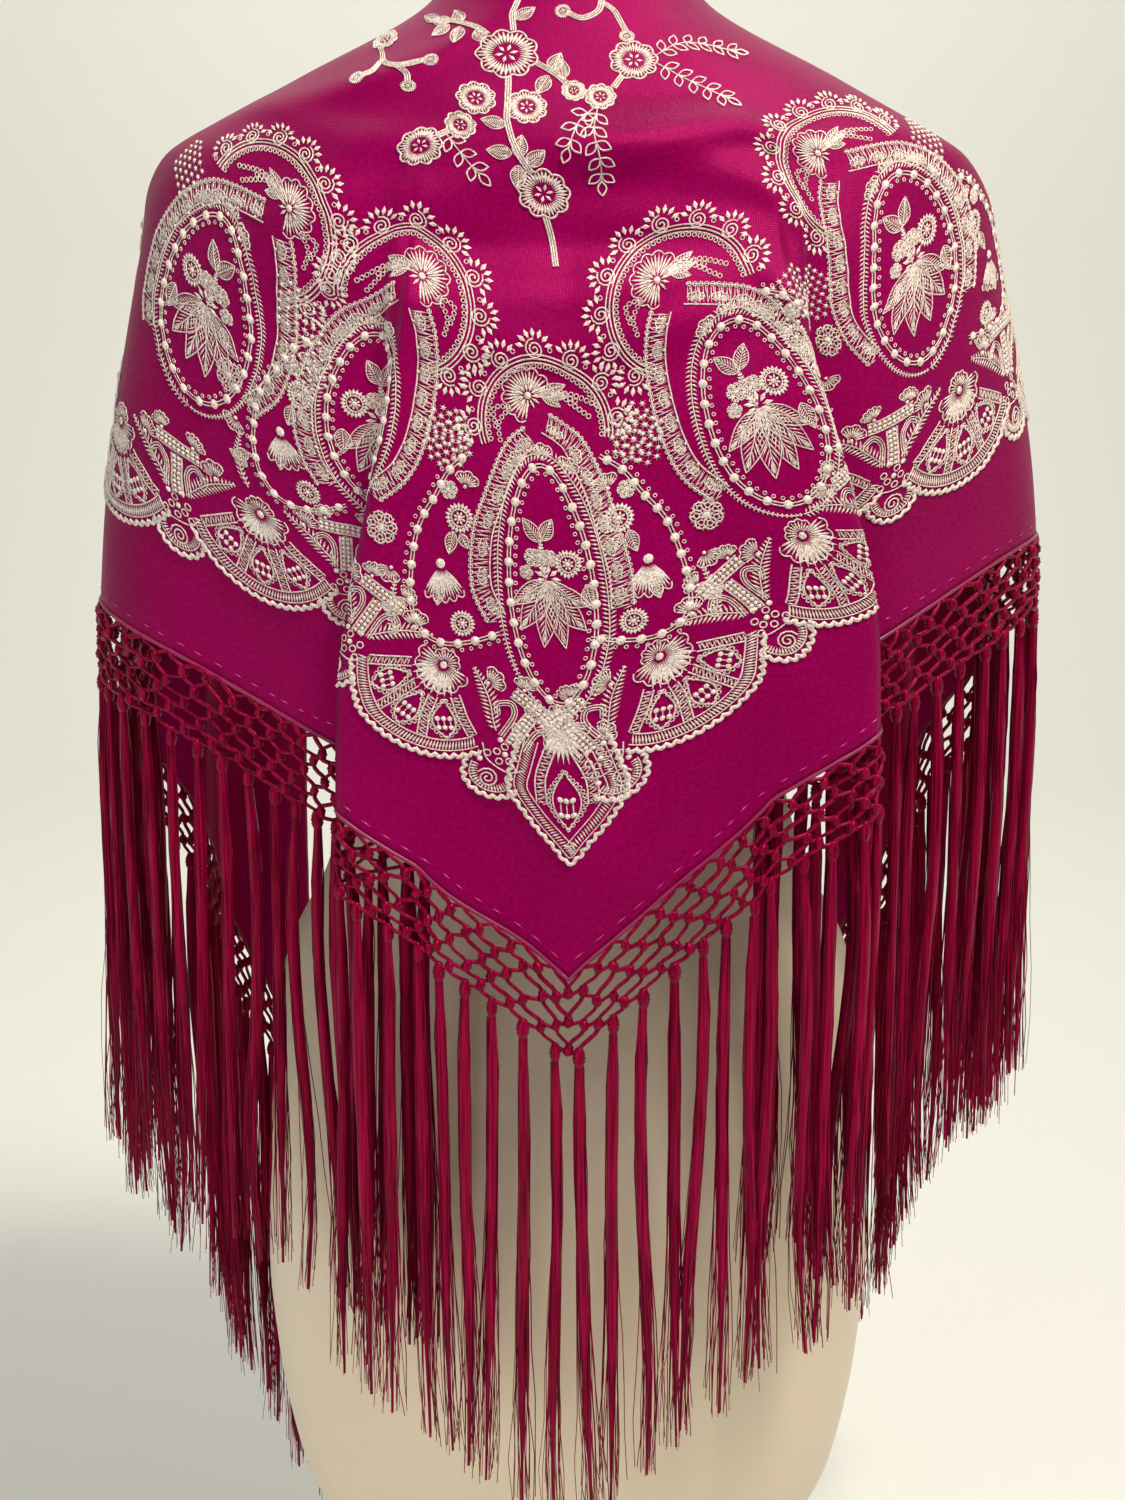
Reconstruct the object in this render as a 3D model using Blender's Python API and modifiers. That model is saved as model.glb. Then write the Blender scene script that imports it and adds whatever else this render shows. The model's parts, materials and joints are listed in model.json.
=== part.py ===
# A triangular flamenco shawl with a knotted fringe, worn by a limbless dress form on a low stand.
# Metres, +Z up. The garment's back faces -Y, and +X is on the right of someone who looks at that back.
# The origin is the centre of the stand's underside.

from collections import namedtuple
from math import cos, hypot, pi, radians, sin

import bmesh
import bpy
import numpy as np

COLLECTION = "flamenco_shawl_on_a_dress_form"

# The cloth's cut: a triangle whose long edge goes round the neck and down the front
CUT_HALF_LENGTH = 0.82
CUT_DEPTH = 0.55
CLOTH_THICKNESS = 0.0015
COLUMNS_A_SIDE = 60
ROWS = 16

# The knotted heading and its tassels, one tassel for each column of the cloth
NET_DROP = 0.045
SEAM_GAP = 0.0006
CENTRE_GAP_SHARE = 0.02
STRAND_LENGTH = 0.277
STRAND_UNEVEN = 0.006
STRAND_WIDTH_SHARE = 0.56
STRAND_WIDTH_LIMITS = (0.0026, 0.0056)

# The neck edge is highest at the nape and lower at the throat. The shawl is worn a little askew:
# the middle of its long edge lies to the left of the nape, so the left front hangs lower.
NAPE_HEIGHT = 1.030
NECK_EDGE_FALL = 0.045
NECK_SHIFT = 0.040

# How round the level sections are: 2 is an ellipse, and more is squarer
CLOTH_SQUARENESS = 2.35
FORM_SQUARENESS = 2.35
NECK_SQUARENESS = 2.0

# The form's shoulders lie this far inside the cloth
SEAT = 0.0042

# The stand
POLE_RADIUS = 0.016
BASE_RADIUS = 0.130
BASE_THICKNESS = 0.012
BASE_BEVEL = 0.003
FACE_GAP = 0.0003

Ring = namedtuple("Ring", "height half_width back front")

# Level sections of the hanging cloth's inner face, without its folds
CLOTH_RINGS = [
    Ring(1.036, 0.0560, 0.057, 0.052),
    Ring(1.006, 0.0710, 0.068, 0.062),
    Ring(0.962, 0.1480, 0.094, 0.084),
    Ring(0.941, 0.1865, 0.106, 0.094),
    Ring(0.922, 0.2155, 0.116, 0.104),
    Ring(0.900, 0.2270, 0.124, 0.112),
    Ring(0.874, 0.2325, 0.132, 0.120),
    Ring(0.830, 0.2405, 0.140, 0.128),
    Ring(0.763, 0.2510, 0.147, 0.133),
    Ring(0.712, 0.2560, 0.150, 0.135),
    Ring(0.600, 0.2640, 0.154, 0.137),
    Ring(0.497, 0.2680, 0.155, 0.136),
    Ring(0.300, 0.2680, 0.155, 0.134),
]

# Level sections of the dress form from its flat underside to the top of its chest
FORM_RINGS = [
    Ring(0.080, 0.085, 0.056, 0.056),
    Ring(0.088, 0.112, 0.076, 0.076),
    Ring(0.105, 0.138, 0.092, 0.092),
    Ring(0.132, 0.159, 0.106, 0.107),
    Ring(0.170, 0.170, 0.114, 0.113),
    Ring(0.220, 0.178, 0.119, 0.116),
    Ring(0.275, 0.182, 0.121, 0.118),
    Ring(0.345, 0.179, 0.121, 0.117),
    Ring(0.420, 0.175, 0.115, 0.112),
    Ring(0.470, 0.166, 0.106, 0.106),
    Ring(0.520, 0.142, 0.094, 0.098),
    Ring(0.574, 0.127, 0.088, 0.093),
    Ring(0.641, 0.141, 0.094, 0.104),
    Ring(0.715, 0.155, 0.104, 0.117),
    Ring(0.790, 0.168, 0.112, 0.118),
    Ring(0.845, 0.185, 0.116, 0.111),
    Ring(0.885, 0.206, 0.117, 0.107),
]
FORM_SHOULDER_HEIGHTS = [0.912, 0.928, 0.944, 0.960, 0.976, 0.992, 1.008]
FORM_NECK_RINGS = [
    Ring(1.030, 0.0560, 0.0560, 0.0510),
    Ring(1.060, 0.0530, 0.0540, 0.0500),
    Ring(1.082, 0.0520, 0.0530, 0.0490),
    Ring(1.090, 0.0450, 0.0460, 0.0420),
]
FORM_SEGMENTS = 40

# Where each stretch of the hem lies on the half girth, from the back tip to the front end
HemShare = namedtuple("HemShare", "hem_distance girth_share")
Pleat = namedtuple("Pleat", "hem_start fold_width depth")
Wave = namedtuple("Wave", "hem_centre half_width depth")

HEM_SHARES = {
    "right": [HemShare(0.0, 0.0), HemShare(0.1025, 0.149), HemShare(0.2665, 0.232),
              HemShare(0.430, 0.510), HemShare(0.560, 0.590), HemShare(0.820, 0.750)],
    "left": [HemShare(0.0, 0.0), HemShare(0.0752, 0.109), HemShare(0.198, 0.170),
             HemShare(0.420, 0.510), HemShare(0.560, 0.595), HemShare(0.820, 0.750)],
}

# The share of a fall line's length that small drag creases and the pleats take up
TakeUp = namedtuple("TakeUp", "hem_distance share")
TAKE_UPS = {
    "right": [TakeUp(0.0, 0.021), TakeUp(0.027, 0.040), TakeUp(0.055, 0.057), TakeUp(0.090, 0.064),
              TakeUp(0.150, 0.066), TakeUp(0.220, 0.058), TakeUp(0.300, 0.042), TakeUp(0.360, 0.024),
              TakeUp(0.450, 0.010), TakeUp(0.600, 0.0), TakeUp(0.820, 0.0)],
    "left": [TakeUp(0.0, 0.021), TakeUp(0.027, 0.040), TakeUp(0.060, 0.046), TakeUp(0.090, 0.056),
             TakeUp(0.120, 0.069), TakeUp(0.200, 0.065), TakeUp(0.300, 0.061), TakeUp(0.370, 0.061),
             TakeUp(0.450, 0.040), TakeUp(0.600, 0.010), TakeUp(0.820, 0.0)],
}

# The two deep pleats that set the centre back panel off
COLUMN_STEP = CUT_HALF_LENGTH / COLUMNS_A_SIDE
PLEATS = {"right": Pleat(7.5 * COLUMN_STEP, 4.0 * COLUMN_STEP, 0.021),
          "left": Pleat(5.5 * COLUMN_STEP, 3.0 * COLUMN_STEP, 0.021)}

# The course of a pleat across its cloth: out to the fold's edge, back under it, and out again
PleatStep = namedtuple("PleatStep", "share advance depth")
PLEAT_COURSE = [
    PleatStep(0.000, 0.00, 1.00),
    PleatStep(0.140, 0.45, 1.01),
    PleatStep(0.280, 0.90, 0.96),
    PleatStep(0.333, 1.00, 0.78),
    PleatStep(0.387, 0.90, 0.60),
    PleatStep(0.500, 0.50, 0.50),
    PleatStep(0.613, 0.10, 0.40),
    PleatStep(0.667, 0.00, 0.22),
    PleatStep(0.720, 0.10, 0.04),
    PleatStep(0.860, 0.55, -0.01),
    PleatStep(1.000, 1.00, 0.00),
]
# A pleat first stands out and then overlaps, down the cloth
PLEAT_DEPTH_FADE = (0.10, 0.50)
PLEAT_OVERLAP_FADE = (0.28, 0.90)

# Soft folds of the sides and the hanging fronts
WAVES = {
    "right": [Wave(0.330, 0.055, -0.006), Wave(0.405, 0.055, 0.008), Wave(0.490, 0.065, -0.014),
              Wave(0.580, 0.065, 0.020), Wave(0.665, 0.060, -0.015), Wave(0.750, 0.060, 0.018)],
    "left": [Wave(0.270, 0.055, -0.005), Wave(0.350, 0.060, 0.008), Wave(0.450, 0.065, -0.016),
             Wave(0.545, 0.065, 0.021), Wave(0.635, 0.060, -0.014), Wave(0.730, 0.065, 0.019)],
}
WAVE_FADE = (0.30, 1.00)

# Level sections of a tassel under the heading's lower edge
StrandSection = namedtuple("StrandSection", "drop_share width_share depth_share")
STRAND_SECTIONS = [
    StrandSection(0.062, 1.08, 0.80),
    StrandSection(0.085, 0.60, 0.50),
    StrandSection(1.000, 1.00, 0.70),
]

# Sampling of the smooth girths that the cloth is laid on
GIRTH_SAMPLES = 181
LEVEL_SAMPLES = 241

MAGENTA = (0.37, 0.002, 0.10, 1.0)
BURGUNDY = (0.13, 0.003, 0.03, 1.0)
CREAM = (0.70, 0.58, 0.40, 1.0)
STEEL = (0.60, 0.60, 0.58, 1.0)


def smooth_step(value, low, high):
    """Rise softly from 0 at low to 1 at high."""
    share = np.clip((value - low) / (high - low), 0.0, 1.0)
    return share * share * (3.0 - 2.0 * share)


def along(rows, key, column, value):
    """Read a table's column at a value of its key column, on a curve that never overshoots."""
    keys = np.array([getattr(row, key) for row in rows])
    values = np.array([getattr(row, column) for row in rows])
    order = np.argsort(keys)
    keys = keys[order]
    values = values[order]
    steps = np.diff(keys)
    rises = np.diff(values) / steps
    slopes = np.zeros_like(values)
    slopes[0] = rises[0]
    slopes[-1] = rises[-1]
    same_way = rises[:-1] * rises[1:] > 0
    slopes[1:-1][same_way] = (2.0 * rises[:-1] * rises[1:] / (rises[:-1] + rises[1:] + 1e-12))[same_way]
    value = np.clip(value, keys[0], keys[-1])
    place = np.clip(np.searchsorted(keys, value) - 1, 0, len(steps) - 1)
    t = (value - keys[place]) / steps[place]
    return ((1 + 2 * t) * (1 - t) ** 2 * values[place] + t * (1 - t) ** 2 * steps[place] * slopes[place]
            + t * t * (3 - 2 * t) * values[place + 1] - t * t * (1 - t) * steps[place] * slopes[place + 1])


def ring_at(rows, height):
    """A level section between the rows of a table."""
    return Ring(height, *(float(along(rows, "height", name, height)) for name in Ring._fields[1:]))


def ring_point(ring, angle, squareness):
    """A point of a level section; the angle is 0 at the centre back and half a turn at the front."""
    power = 2.0 / squareness
    across = abs(sin(angle)) ** power * (1.0 if sin(angle) >= 0.0 else -1.0)
    deep = abs(cos(angle)) ** power
    if cos(angle) > 0.0:
        return ring.half_width * across, -ring.back * deep
    return ring.half_width * across, ring.front * deep


class Drape:
    """The smooth hanging form of the cloth, before its folds: half girths at close levels."""

    def __init__(self):
        self.heights = np.linspace(CLOTH_RINGS[0].height, CLOTH_RINGS[-1].height, LEVEL_SAMPLES)
        self.shares = np.linspace(0.0, 1.0, GIRTH_SAMPLES)
        self.half_girths = []
        self.points = []
        for height in self.heights:
            ring = ring_at(CLOTH_RINGS, height)
            outline = np.array([ring_point(ring, angle, CLOTH_SQUARENESS)
                                for angle in np.linspace(0.0, pi, 4 * GIRTH_SAMPLES)])
            lengths = np.concatenate([[0.0], np.cumsum(np.hypot(*np.diff(outline, axis=0).T))])
            places = self.shares * lengths[-1]
            self.half_girths.append(lengths[-1])
            self.points.append(np.column_stack([np.interp(places, lengths, outline[:, 0]),
                                                np.interp(places, lengths, outline[:, 1])]))
        self.points = np.array(self.points)
        self.half_girths = np.array(self.half_girths)

    def half_girth(self, height):
        """Half the length round the cloth at a level."""
        return float(np.interp(-height, -self.heights, self.half_girths))

    def level_point(self, height, share):
        """The point at a share of the half girth, and the way out of the cloth there."""
        level = np.interp(-height, -self.heights, np.arange(LEVEL_SAMPLES))
        low = min(int(level), LEVEL_SAMPLES - 2)
        ring = self.points[low] + (level - low) * (self.points[low + 1] - self.points[low])
        step = 1.0 / GIRTH_SAMPLES

        def read(place):
            mirrored = abs(place)
            point = np.array([np.interp(mirrored, self.shares, ring[:, 0]),
                              np.interp(mirrored, self.shares, ring[:, 1])])
            return point * (1.0, 1.0) if place >= 0.0 else point * (-1.0, 1.0)

        tangent = read(share + step) - read(share - step)
        tangent /= hypot(*tangent)
        return read(share), np.array([tangent[1], -tangent[0]])

    def fall_line(self, share):
        """Heights and lengths along the cloth from the neck edge down at a share of the girth."""
        start = NAPE_HEIGHT - NECK_EDGE_FALL * share
        heights = np.linspace(start, CLOTH_RINGS[-1].height, LEVEL_SAMPLES)
        line = np.array([[*self.level_point(height, share)[0], height] for height in heights])
        lengths = np.concatenate([[0.0], np.cumsum(np.linalg.norm(np.diff(line, axis=0), axis=1))])
        return heights, lengths


def neck_reach(drape, share):
    """Length along the neck edge from the nape to a share of the girth."""
    shares = np.linspace(0.0, share, 24)
    edge = []
    for place in shares:
        height = NAPE_HEIGHT - NECK_EDGE_FALL * place
        edge.append([*drape.level_point(height, place)[0], height])
    return float(np.sum(np.linalg.norm(np.diff(np.array(edge), axis=0), axis=1)))


def pleat_shift(side, hem_distance, fall_share):
    """How far a pleat moves the cloth along the girth and outwards, both in metres."""
    pleat = PLEATS[side]
    standing = pleat.depth * float(smooth_step(fall_share, *PLEAT_DEPTH_FADE))
    share = (hem_distance - pleat.hem_start) / (3.0 * pleat.fold_width)
    if share <= 0.0:
        return 0.0, standing
    if share >= 1.0:
        return 0.0, 0.0
    overlap = pleat.fold_width * float(smooth_step(fall_share, *PLEAT_OVERLAP_FADE))
    advance = float(along(PLEAT_COURSE, "share", "advance", share))
    depth = float(along(PLEAT_COURSE, "share", "depth", share))
    return overlap * (advance - share), standing * depth


def wave_depth(side, hem_distance, fall_share):
    """How far the soft folds stand out at a place of the cloth."""
    depth = 0.0
    for wave in WAVES[side]:
        near = (hem_distance - wave.hem_centre) / wave.half_width
        if abs(near) < 1.0:
            depth += wave.depth * cos(0.5 * pi * near) ** 2
    return depth * float(smooth_step(fall_share, *WAVE_FADE))


def cloth_column(drape, side, hem_distance, fall_shares):
    """Points of one fall line of the cloth, from the neck edge to the hem."""
    share = float(along(HEM_SHARES[side], "hem_distance", "girth_share", hem_distance))
    hand = 1.0 if side == "right" else -1.0
    start = neck_reach(drape, share) + hand * NECK_SHIFT
    drop = CUT_DEPTH * (1.0 - hem_distance / CUT_HALF_LENGTH)
    taken = float(along(TAKE_UPS[side], "hem_distance", "share", hem_distance))
    length = hypot(hem_distance - start, drop) * (1.0 - taken)
    heights, lengths = drape.fall_line(share)
    points = []
    for fall_share in fall_shares:
        height = float(np.interp(fall_share * length, lengths, heights))
        advance, depth = pleat_shift(side, hem_distance, fall_share)
        depth += wave_depth(side, hem_distance, fall_share)
        place, outward = drape.level_point(height, share + advance / drape.half_girth(height))
        place = place + depth * outward
        points.append((hand * place[0], place[1], height))
    return points


def cloth_grid(drape):
    """The cloth's inner face: columns from the left front edge, round the back, to the right one."""
    falls = np.linspace(0.0, 1.0, ROWS + 1)
    places = range(COLUMNS_A_SIDE + 1)
    left = [cloth_column(drape, "left", COLUMN_STEP * place, falls) for place in reversed(places[1:])]
    right = [cloth_column(drape, "right", COLUMN_STEP * place, falls) for place in places]
    return left + right


def make_material(name, colour, roughness, metallic=0.0):
    """A plain Principled material."""
    material = bpy.data.materials.new(name)
    material.use_nodes = True
    shader = material.node_tree.nodes["Principled BSDF"]
    shader.inputs["Base Color"].default_value = colour
    shader.inputs["Roughness"].default_value = roughness
    shader.inputs["Metallic"].default_value = metallic
    return material


def add_mesh(collection, name, points, faces, material):
    """A mesh object with its faces turned outwards."""
    mesh = bpy.data.meshes.new(name)
    mesh.from_pydata([tuple(point) for point in points], [], faces)
    mesh.materials.append(material)
    mesh.update()
    thing = bpy.data.objects.new(name, mesh)
    collection.objects.link(thing)
    return thing


def turn_faces_out(thing):
    """Make a closed mesh's faces agree and point out."""
    shape = bmesh.new()
    shape.from_mesh(thing.data)
    bmesh.ops.recalc_face_normals(shape, faces=shape.faces)
    shape.to_mesh(thing.data)
    shape.free()


def loft(collection, name, rings, material):
    """A closed solid through rings with the same number of points."""
    points = [point for ring in rings for point in ring]
    count = len(rings[0])
    faces = []
    for level in range(len(rings) - 1):
        for place in range(count):
            after = (place + 1) % count
            low = level * count
            faces.append((low + place, low + after, low + count + after, low + count + place))
    faces.append(tuple(reversed(range(count))))
    faces.append(tuple(range(len(points) - count, len(points))))
    thing = add_mesh(collection, name, points, faces, material)
    turn_faces_out(thing)
    thing.data.shade_smooth()
    thing.data.set_sharp_from_angle(angle=radians(50))
    return thing


def make_cloth(collection, grid, material):
    """The silk: an open sheet of fall lines, thickened outwards."""
    rows = len(grid[0])
    points = [point for column in grid for point in column]
    faces = []
    for column in range(len(grid) - 1):
        for row in range(rows - 1):
            here = column * rows + row
            faces.append((here, here + 1, here + rows + 1, here + rows))
    cloth = add_mesh(collection, "silk_panel", points, faces, material)
    cloth.data.shade_smooth()
    wall = cloth.modifiers.new("wall", "SOLIDIFY")
    wall.thickness = CLOTH_THICKNESS
    wall.offset = 1.0
    return cloth


def hem_edges(cloth, columns):
    """The two edges of the thickened cloth's hem, inner and outer, column by column."""
    thick = cloth.evaluated_get(bpy.context.evaluated_depsgraph_get()).data
    count = len(cloth.data.vertices)
    rows = count // columns
    edges = []
    for column in range(columns):
        place = column * rows + rows - 1
        sheet_point = cloth.data.vertices[place].co
        pair = [thick.vertices[place].co, thick.vertices[place + count].co]
        pair.sort(key=lambda corner: (corner - sheet_point).length)
        edges.append([np.array(corner) for corner in pair])
    return edges


def hem_stations(hem):
    """Places along the hem where the heading's quads begin, and the quads that bear a tassel."""
    stations = []
    bearing = []
    for place in range(len(hem) - 1):
        start = np.array(hem[place])
        end = np.array(hem[place + 1])
        run = (end - start).mean(axis=0)
        span = hypot(run[0], run[1])
        gap = np.array([0.0, 0.0, SEAM_GAP * hypot(1.0, run[2] / span)])
        width = float(np.clip(STRAND_WIDTH_SHARE * span, *STRAND_WIDTH_LIMITS))
        half = 0.5 * width / span
        first = CENTRE_GAP_SHARE if place == 0 else 0.0
        for share in (first, 0.5 - half, 0.5 + half):
            stations.append(start + share * (end - start) - gap)
        bearing.append((3 * place + 1, width))
    stations.append(np.array(hem[-1]) - gap)
    return stations, bearing


def make_fringe(collection, name, hem, hand, material):
    """One slanting edge's heading, a narrow strip, with a tassel under each column of the cloth."""
    stations, bearing = hem_stations(hem)
    fall = np.array([0.0, 0.0, NET_DROP])
    points = []
    for inner, outer in stations:
        points += [inner, outer, outer - fall, inner - fall]
    faces = []
    roots = {quad for quad, width in bearing}
    for place in range(len(stations) - 1):
        here = 4 * place
        for edge in range(4):
            after = (edge + 1) % 4
            if edge == 2 and place in roots:
                continue
            faces.append((here + edge, here + after, here + 4 + after, here + 4 + edge))
    faces.append((0, 1, 2, 3))
    last = 4 * (len(stations) - 1)
    faces.append((last, last + 1, last + 2, last + 3))
    for number, (quad, width) in enumerate(bearing):
        root = [4 * quad + 3, 4 * quad + 2, 4 * quad + 6, 4 * quad + 7]
        centre = sum(points[corner] for corner in root) / 4.0
        way = points[root[3]] - points[root[0]]
        way[2] = 0.0
        way /= hypot(way[0], way[1])
        out = hand * np.array([way[1], -way[0], 0.0])
        drop = STRAND_LENGTH + STRAND_UNEVEN * sin(2.4 * number) * cos(0.7 * number)
        upper = root
        for section in STRAND_SECTIONS:
            middle = centre - np.array([0.0, 0.0, section.drop_share * drop])
            wide = 0.5 * section.width_share * width * way
            deep = 0.5 * section.depth_share * width * out
            lower = list(range(len(points), len(points) + 4))
            points += [middle - wide - deep, middle - wide + deep, middle + wide + deep, middle + wide - deep]
            for edge in range(4):
                after = (edge + 1) % 4
                faces.append((upper[edge], upper[after], lower[after], lower[edge]))
            upper = lower
        faces.append(tuple(upper))
    fringe = add_mesh(collection, name, points, faces, material)
    turn_faces_out(fringe)
    return fringe


def form_ring(ring, squareness):
    """The points of one level of the dress form."""
    return [(*ring_point(ring, 2.0 * pi * place / FORM_SEGMENTS, squareness), ring.height)
            for place in range(FORM_SEGMENTS)]


def make_form(collection, material):
    """The dress form: a torso whose shoulders lie just inside the cloth, and a short neck."""
    shoulders = []
    for height in FORM_SHOULDER_HEIGHTS:
        cloth = ring_at(CLOTH_RINGS, height)
        shoulders.append(Ring(height, cloth.half_width - SEAT, cloth.back - SEAT, cloth.front - SEAT))
    rings = [form_ring(ring, FORM_SQUARENESS) for ring in FORM_RINGS + shoulders]
    rings += [form_ring(ring, NECK_SQUARENESS) for ring in FORM_NECK_RINGS]
    return loft(collection, "dress_form", rings, material)


def make_stand(collection, material):
    """A short pole under the form, and the round base that it stands on."""
    pole_top = FORM_RINGS[0].height - FACE_GAP
    pole_bottom = BASE_THICKNESS + FACE_GAP
    bpy.ops.mesh.primitive_cylinder_add(vertices=32, radius=POLE_RADIUS, depth=pole_top - pole_bottom,
                                        location=(0.0, 0.0, 0.5 * (pole_top + pole_bottom)))
    pole = bpy.context.object
    pole.name = "stand_pole"
    bpy.ops.mesh.primitive_cylinder_add(vertices=64, radius=BASE_RADIUS, depth=BASE_THICKNESS,
                                        location=(0.0, 0.0, 0.5 * BASE_THICKNESS))
    base = bpy.context.object
    base.name = "stand_base"
    bevel = base.modifiers.new("rounded_rim", "BEVEL")
    bevel.width = BASE_BEVEL
    bevel.segments = 2
    bevel.limit_method = "ANGLE"
    for thing in (pole, base):
        thing.data.materials.append(material)
        thing.data.shade_smooth()
        thing.data.set_sharp_from_angle(angle=radians(40))
        for home in list(thing.users_collection):
            home.objects.unlink(thing)
        collection.objects.link(thing)
    return pole, base


def main():
    for thing in list(bpy.data.objects):
        bpy.data.objects.remove(thing, do_unlink=True)
    collection = bpy.data.collections.new(COLLECTION)
    bpy.context.scene.collection.children.link(collection)
    silk = make_material("magenta_silk", MAGENTA, 0.45)
    cord = make_material("burgundy_fringe", BURGUNDY, 0.5)
    shell = make_material("cream_plastic", CREAM, 0.35)
    metal = make_material("brushed_steel", STEEL, 0.4, 1.0)
    drape = Drape()
    grid = cloth_grid(drape)
    cloth = make_cloth(collection, grid, silk)
    hem = hem_edges(cloth, len(grid))
    make_fringe(collection, "fringe_right", hem[COLUMNS_A_SIDE:], 1.0, cord)
    make_fringe(collection, "fringe_left", hem[COLUMNS_A_SIDE::-1], -1.0, cord)
    make_form(collection, shell)
    make_stand(collection, metal)


main()
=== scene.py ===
# %% [markdown]
# A flamenco shawl on a dress form
#
# The shawl is one triangle of magenta silk, embroidered by machine in cream thread, with a knotted
# net and long silk tassels along its two short edges. It hangs over the shoulders of a cream
# display form and is seen from behind. The sizes are those of the frame's solids. This script dresses
# them: a thin draped cloth, raised stitches that follow it, real knots and loose threads.

import json
from collections import namedtuple
from math import atan2, cos, hypot, pi, radians, sin

import bpy
import numpy as np
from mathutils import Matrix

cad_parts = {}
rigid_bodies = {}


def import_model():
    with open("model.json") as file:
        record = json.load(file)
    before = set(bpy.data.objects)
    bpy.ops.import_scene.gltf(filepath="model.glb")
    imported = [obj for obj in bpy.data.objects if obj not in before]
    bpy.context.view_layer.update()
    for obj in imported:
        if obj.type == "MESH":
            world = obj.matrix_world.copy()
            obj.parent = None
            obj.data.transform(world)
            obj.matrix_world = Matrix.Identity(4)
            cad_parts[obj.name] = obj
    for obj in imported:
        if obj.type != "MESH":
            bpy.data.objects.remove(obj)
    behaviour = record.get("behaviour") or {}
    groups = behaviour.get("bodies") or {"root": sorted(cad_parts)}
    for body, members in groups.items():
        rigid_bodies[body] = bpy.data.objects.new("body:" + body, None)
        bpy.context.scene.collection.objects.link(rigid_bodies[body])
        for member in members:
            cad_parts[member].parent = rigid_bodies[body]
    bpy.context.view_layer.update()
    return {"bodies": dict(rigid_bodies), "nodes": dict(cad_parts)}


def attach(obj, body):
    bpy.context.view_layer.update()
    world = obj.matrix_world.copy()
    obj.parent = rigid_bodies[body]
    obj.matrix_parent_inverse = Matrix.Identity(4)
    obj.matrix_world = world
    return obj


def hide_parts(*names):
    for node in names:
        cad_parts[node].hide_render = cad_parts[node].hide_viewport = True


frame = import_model()
ROOT = list(frame["bodies"])[0]
MM = 0.001

# %% [markdown]
# The camera
#
# The photograph looks at the form's back from a little above, with a normal lens. The distance and
# the height come from how fast the form narrows downwards in the picture. A camera could also be
# aimed with a constraint, but two named numbers are plainer and never move.

# %% Camera
PHOTO_SIZE = (1125, 1500)
FOCAL_PIXELS = 2166.0
SENSOR_MM = 36.0
CAMERA_DISTANCE = 1.235
CAMERA_HEIGHT = 0.874
CAMERA_PITCH = 13.0
CAMERA_SIDE = -0.003

camera_data = bpy.data.cameras.new("camera")
camera_data.sensor_fit = "VERTICAL"
camera_data.sensor_height = SENSOR_MM
camera_data.lens = SENSOR_MM * FOCAL_PIXELS / PHOTO_SIZE[1]
camera = bpy.data.objects.new("camera", camera_data)
camera.location = (CAMERA_SIDE, -CAMERA_DISTANCE, CAMERA_HEIGHT)
camera.rotation_euler = (radians(90.0 - CAMERA_PITCH), 0.0, 0.0)
bpy.context.scene.collection.objects.link(camera)
bpy.context.scene.camera = camera
print("lens", round(camera_data.lens, 1), "mm")

# %% [markdown]
# Colours, nodes and meshes
#
# Blender's shader sockets take linear light, while colours are picked in sRGB. One function turns a
# hex value to linear. Others add a node with its settings and links, mottle a colour and roughen a
# surface. The last makes a mesh object from arrays, far quicker than one face at a time.

# %% Helpers
def linear(hex_colour):
    """An sRGB hex colour as linear red, green and blue, with full alpha."""
    channels = [int(hex_colour[place:place + 2], 16) / 255.0 for place in (1, 3, 5)]
    return [c / 12.92 if c <= 0.04045 else ((c + 0.055) / 1.055) ** 2.4 for c in channels] + [1.0]


def add_node(tree, kind, inputs=None, **settings):
    """One shader node: its settings, then its inputs, each a value or another node's socket."""
    made = tree.nodes.new(kind)
    for name, value in settings.items():
        setattr(made, name, value)
    for socket, value in (inputs or {}).items():
        if isinstance(value, bpy.types.NodeSocket):
            tree.links.new(value, made.inputs[socket])
        else:
            made.inputs[socket].default_value = value
    return made


def start_material(name, **values):
    """A new material with a Principled shader; values are set on the shader's own sockets."""
    material = bpy.data.materials.new(name)
    material.use_nodes = True
    shader = material.node_tree.nodes["Principled BSDF"]
    for socket, value in values.items():
        shader.inputs[socket.replace("_", " ")].default_value = value
    return material, material.node_tree, shader


def mottle(tree, shader, vector, scale, detail, stops):
    """Noise that gives the base colour through a ramp of (position, colour) stops."""
    noise = add_node(tree, "ShaderNodeTexNoise", {"Vector": vector, "Scale": scale, "Detail": detail})
    ramp = add_node(tree, "ShaderNodeValToRGB", {"Fac": noise.outputs["Fac"]})
    for element, (position, colour) in zip(ramp.color_ramp.elements, stops):
        element.position = position
        element.color = linear(colour)
    tree.links.new(ramp.outputs["Color"], shader.inputs["Base Color"])
    return noise


def roughen(tree, shader, noise, strength, distance):
    """A fine bump made from noise."""
    bump = add_node(tree, "ShaderNodeBump",
                    {"Height": noise.outputs["Fac"], "Strength": strength, "Distance": distance})
    tree.links.new(bump.outputs["Normal"], shader.inputs["Normal"])


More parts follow.
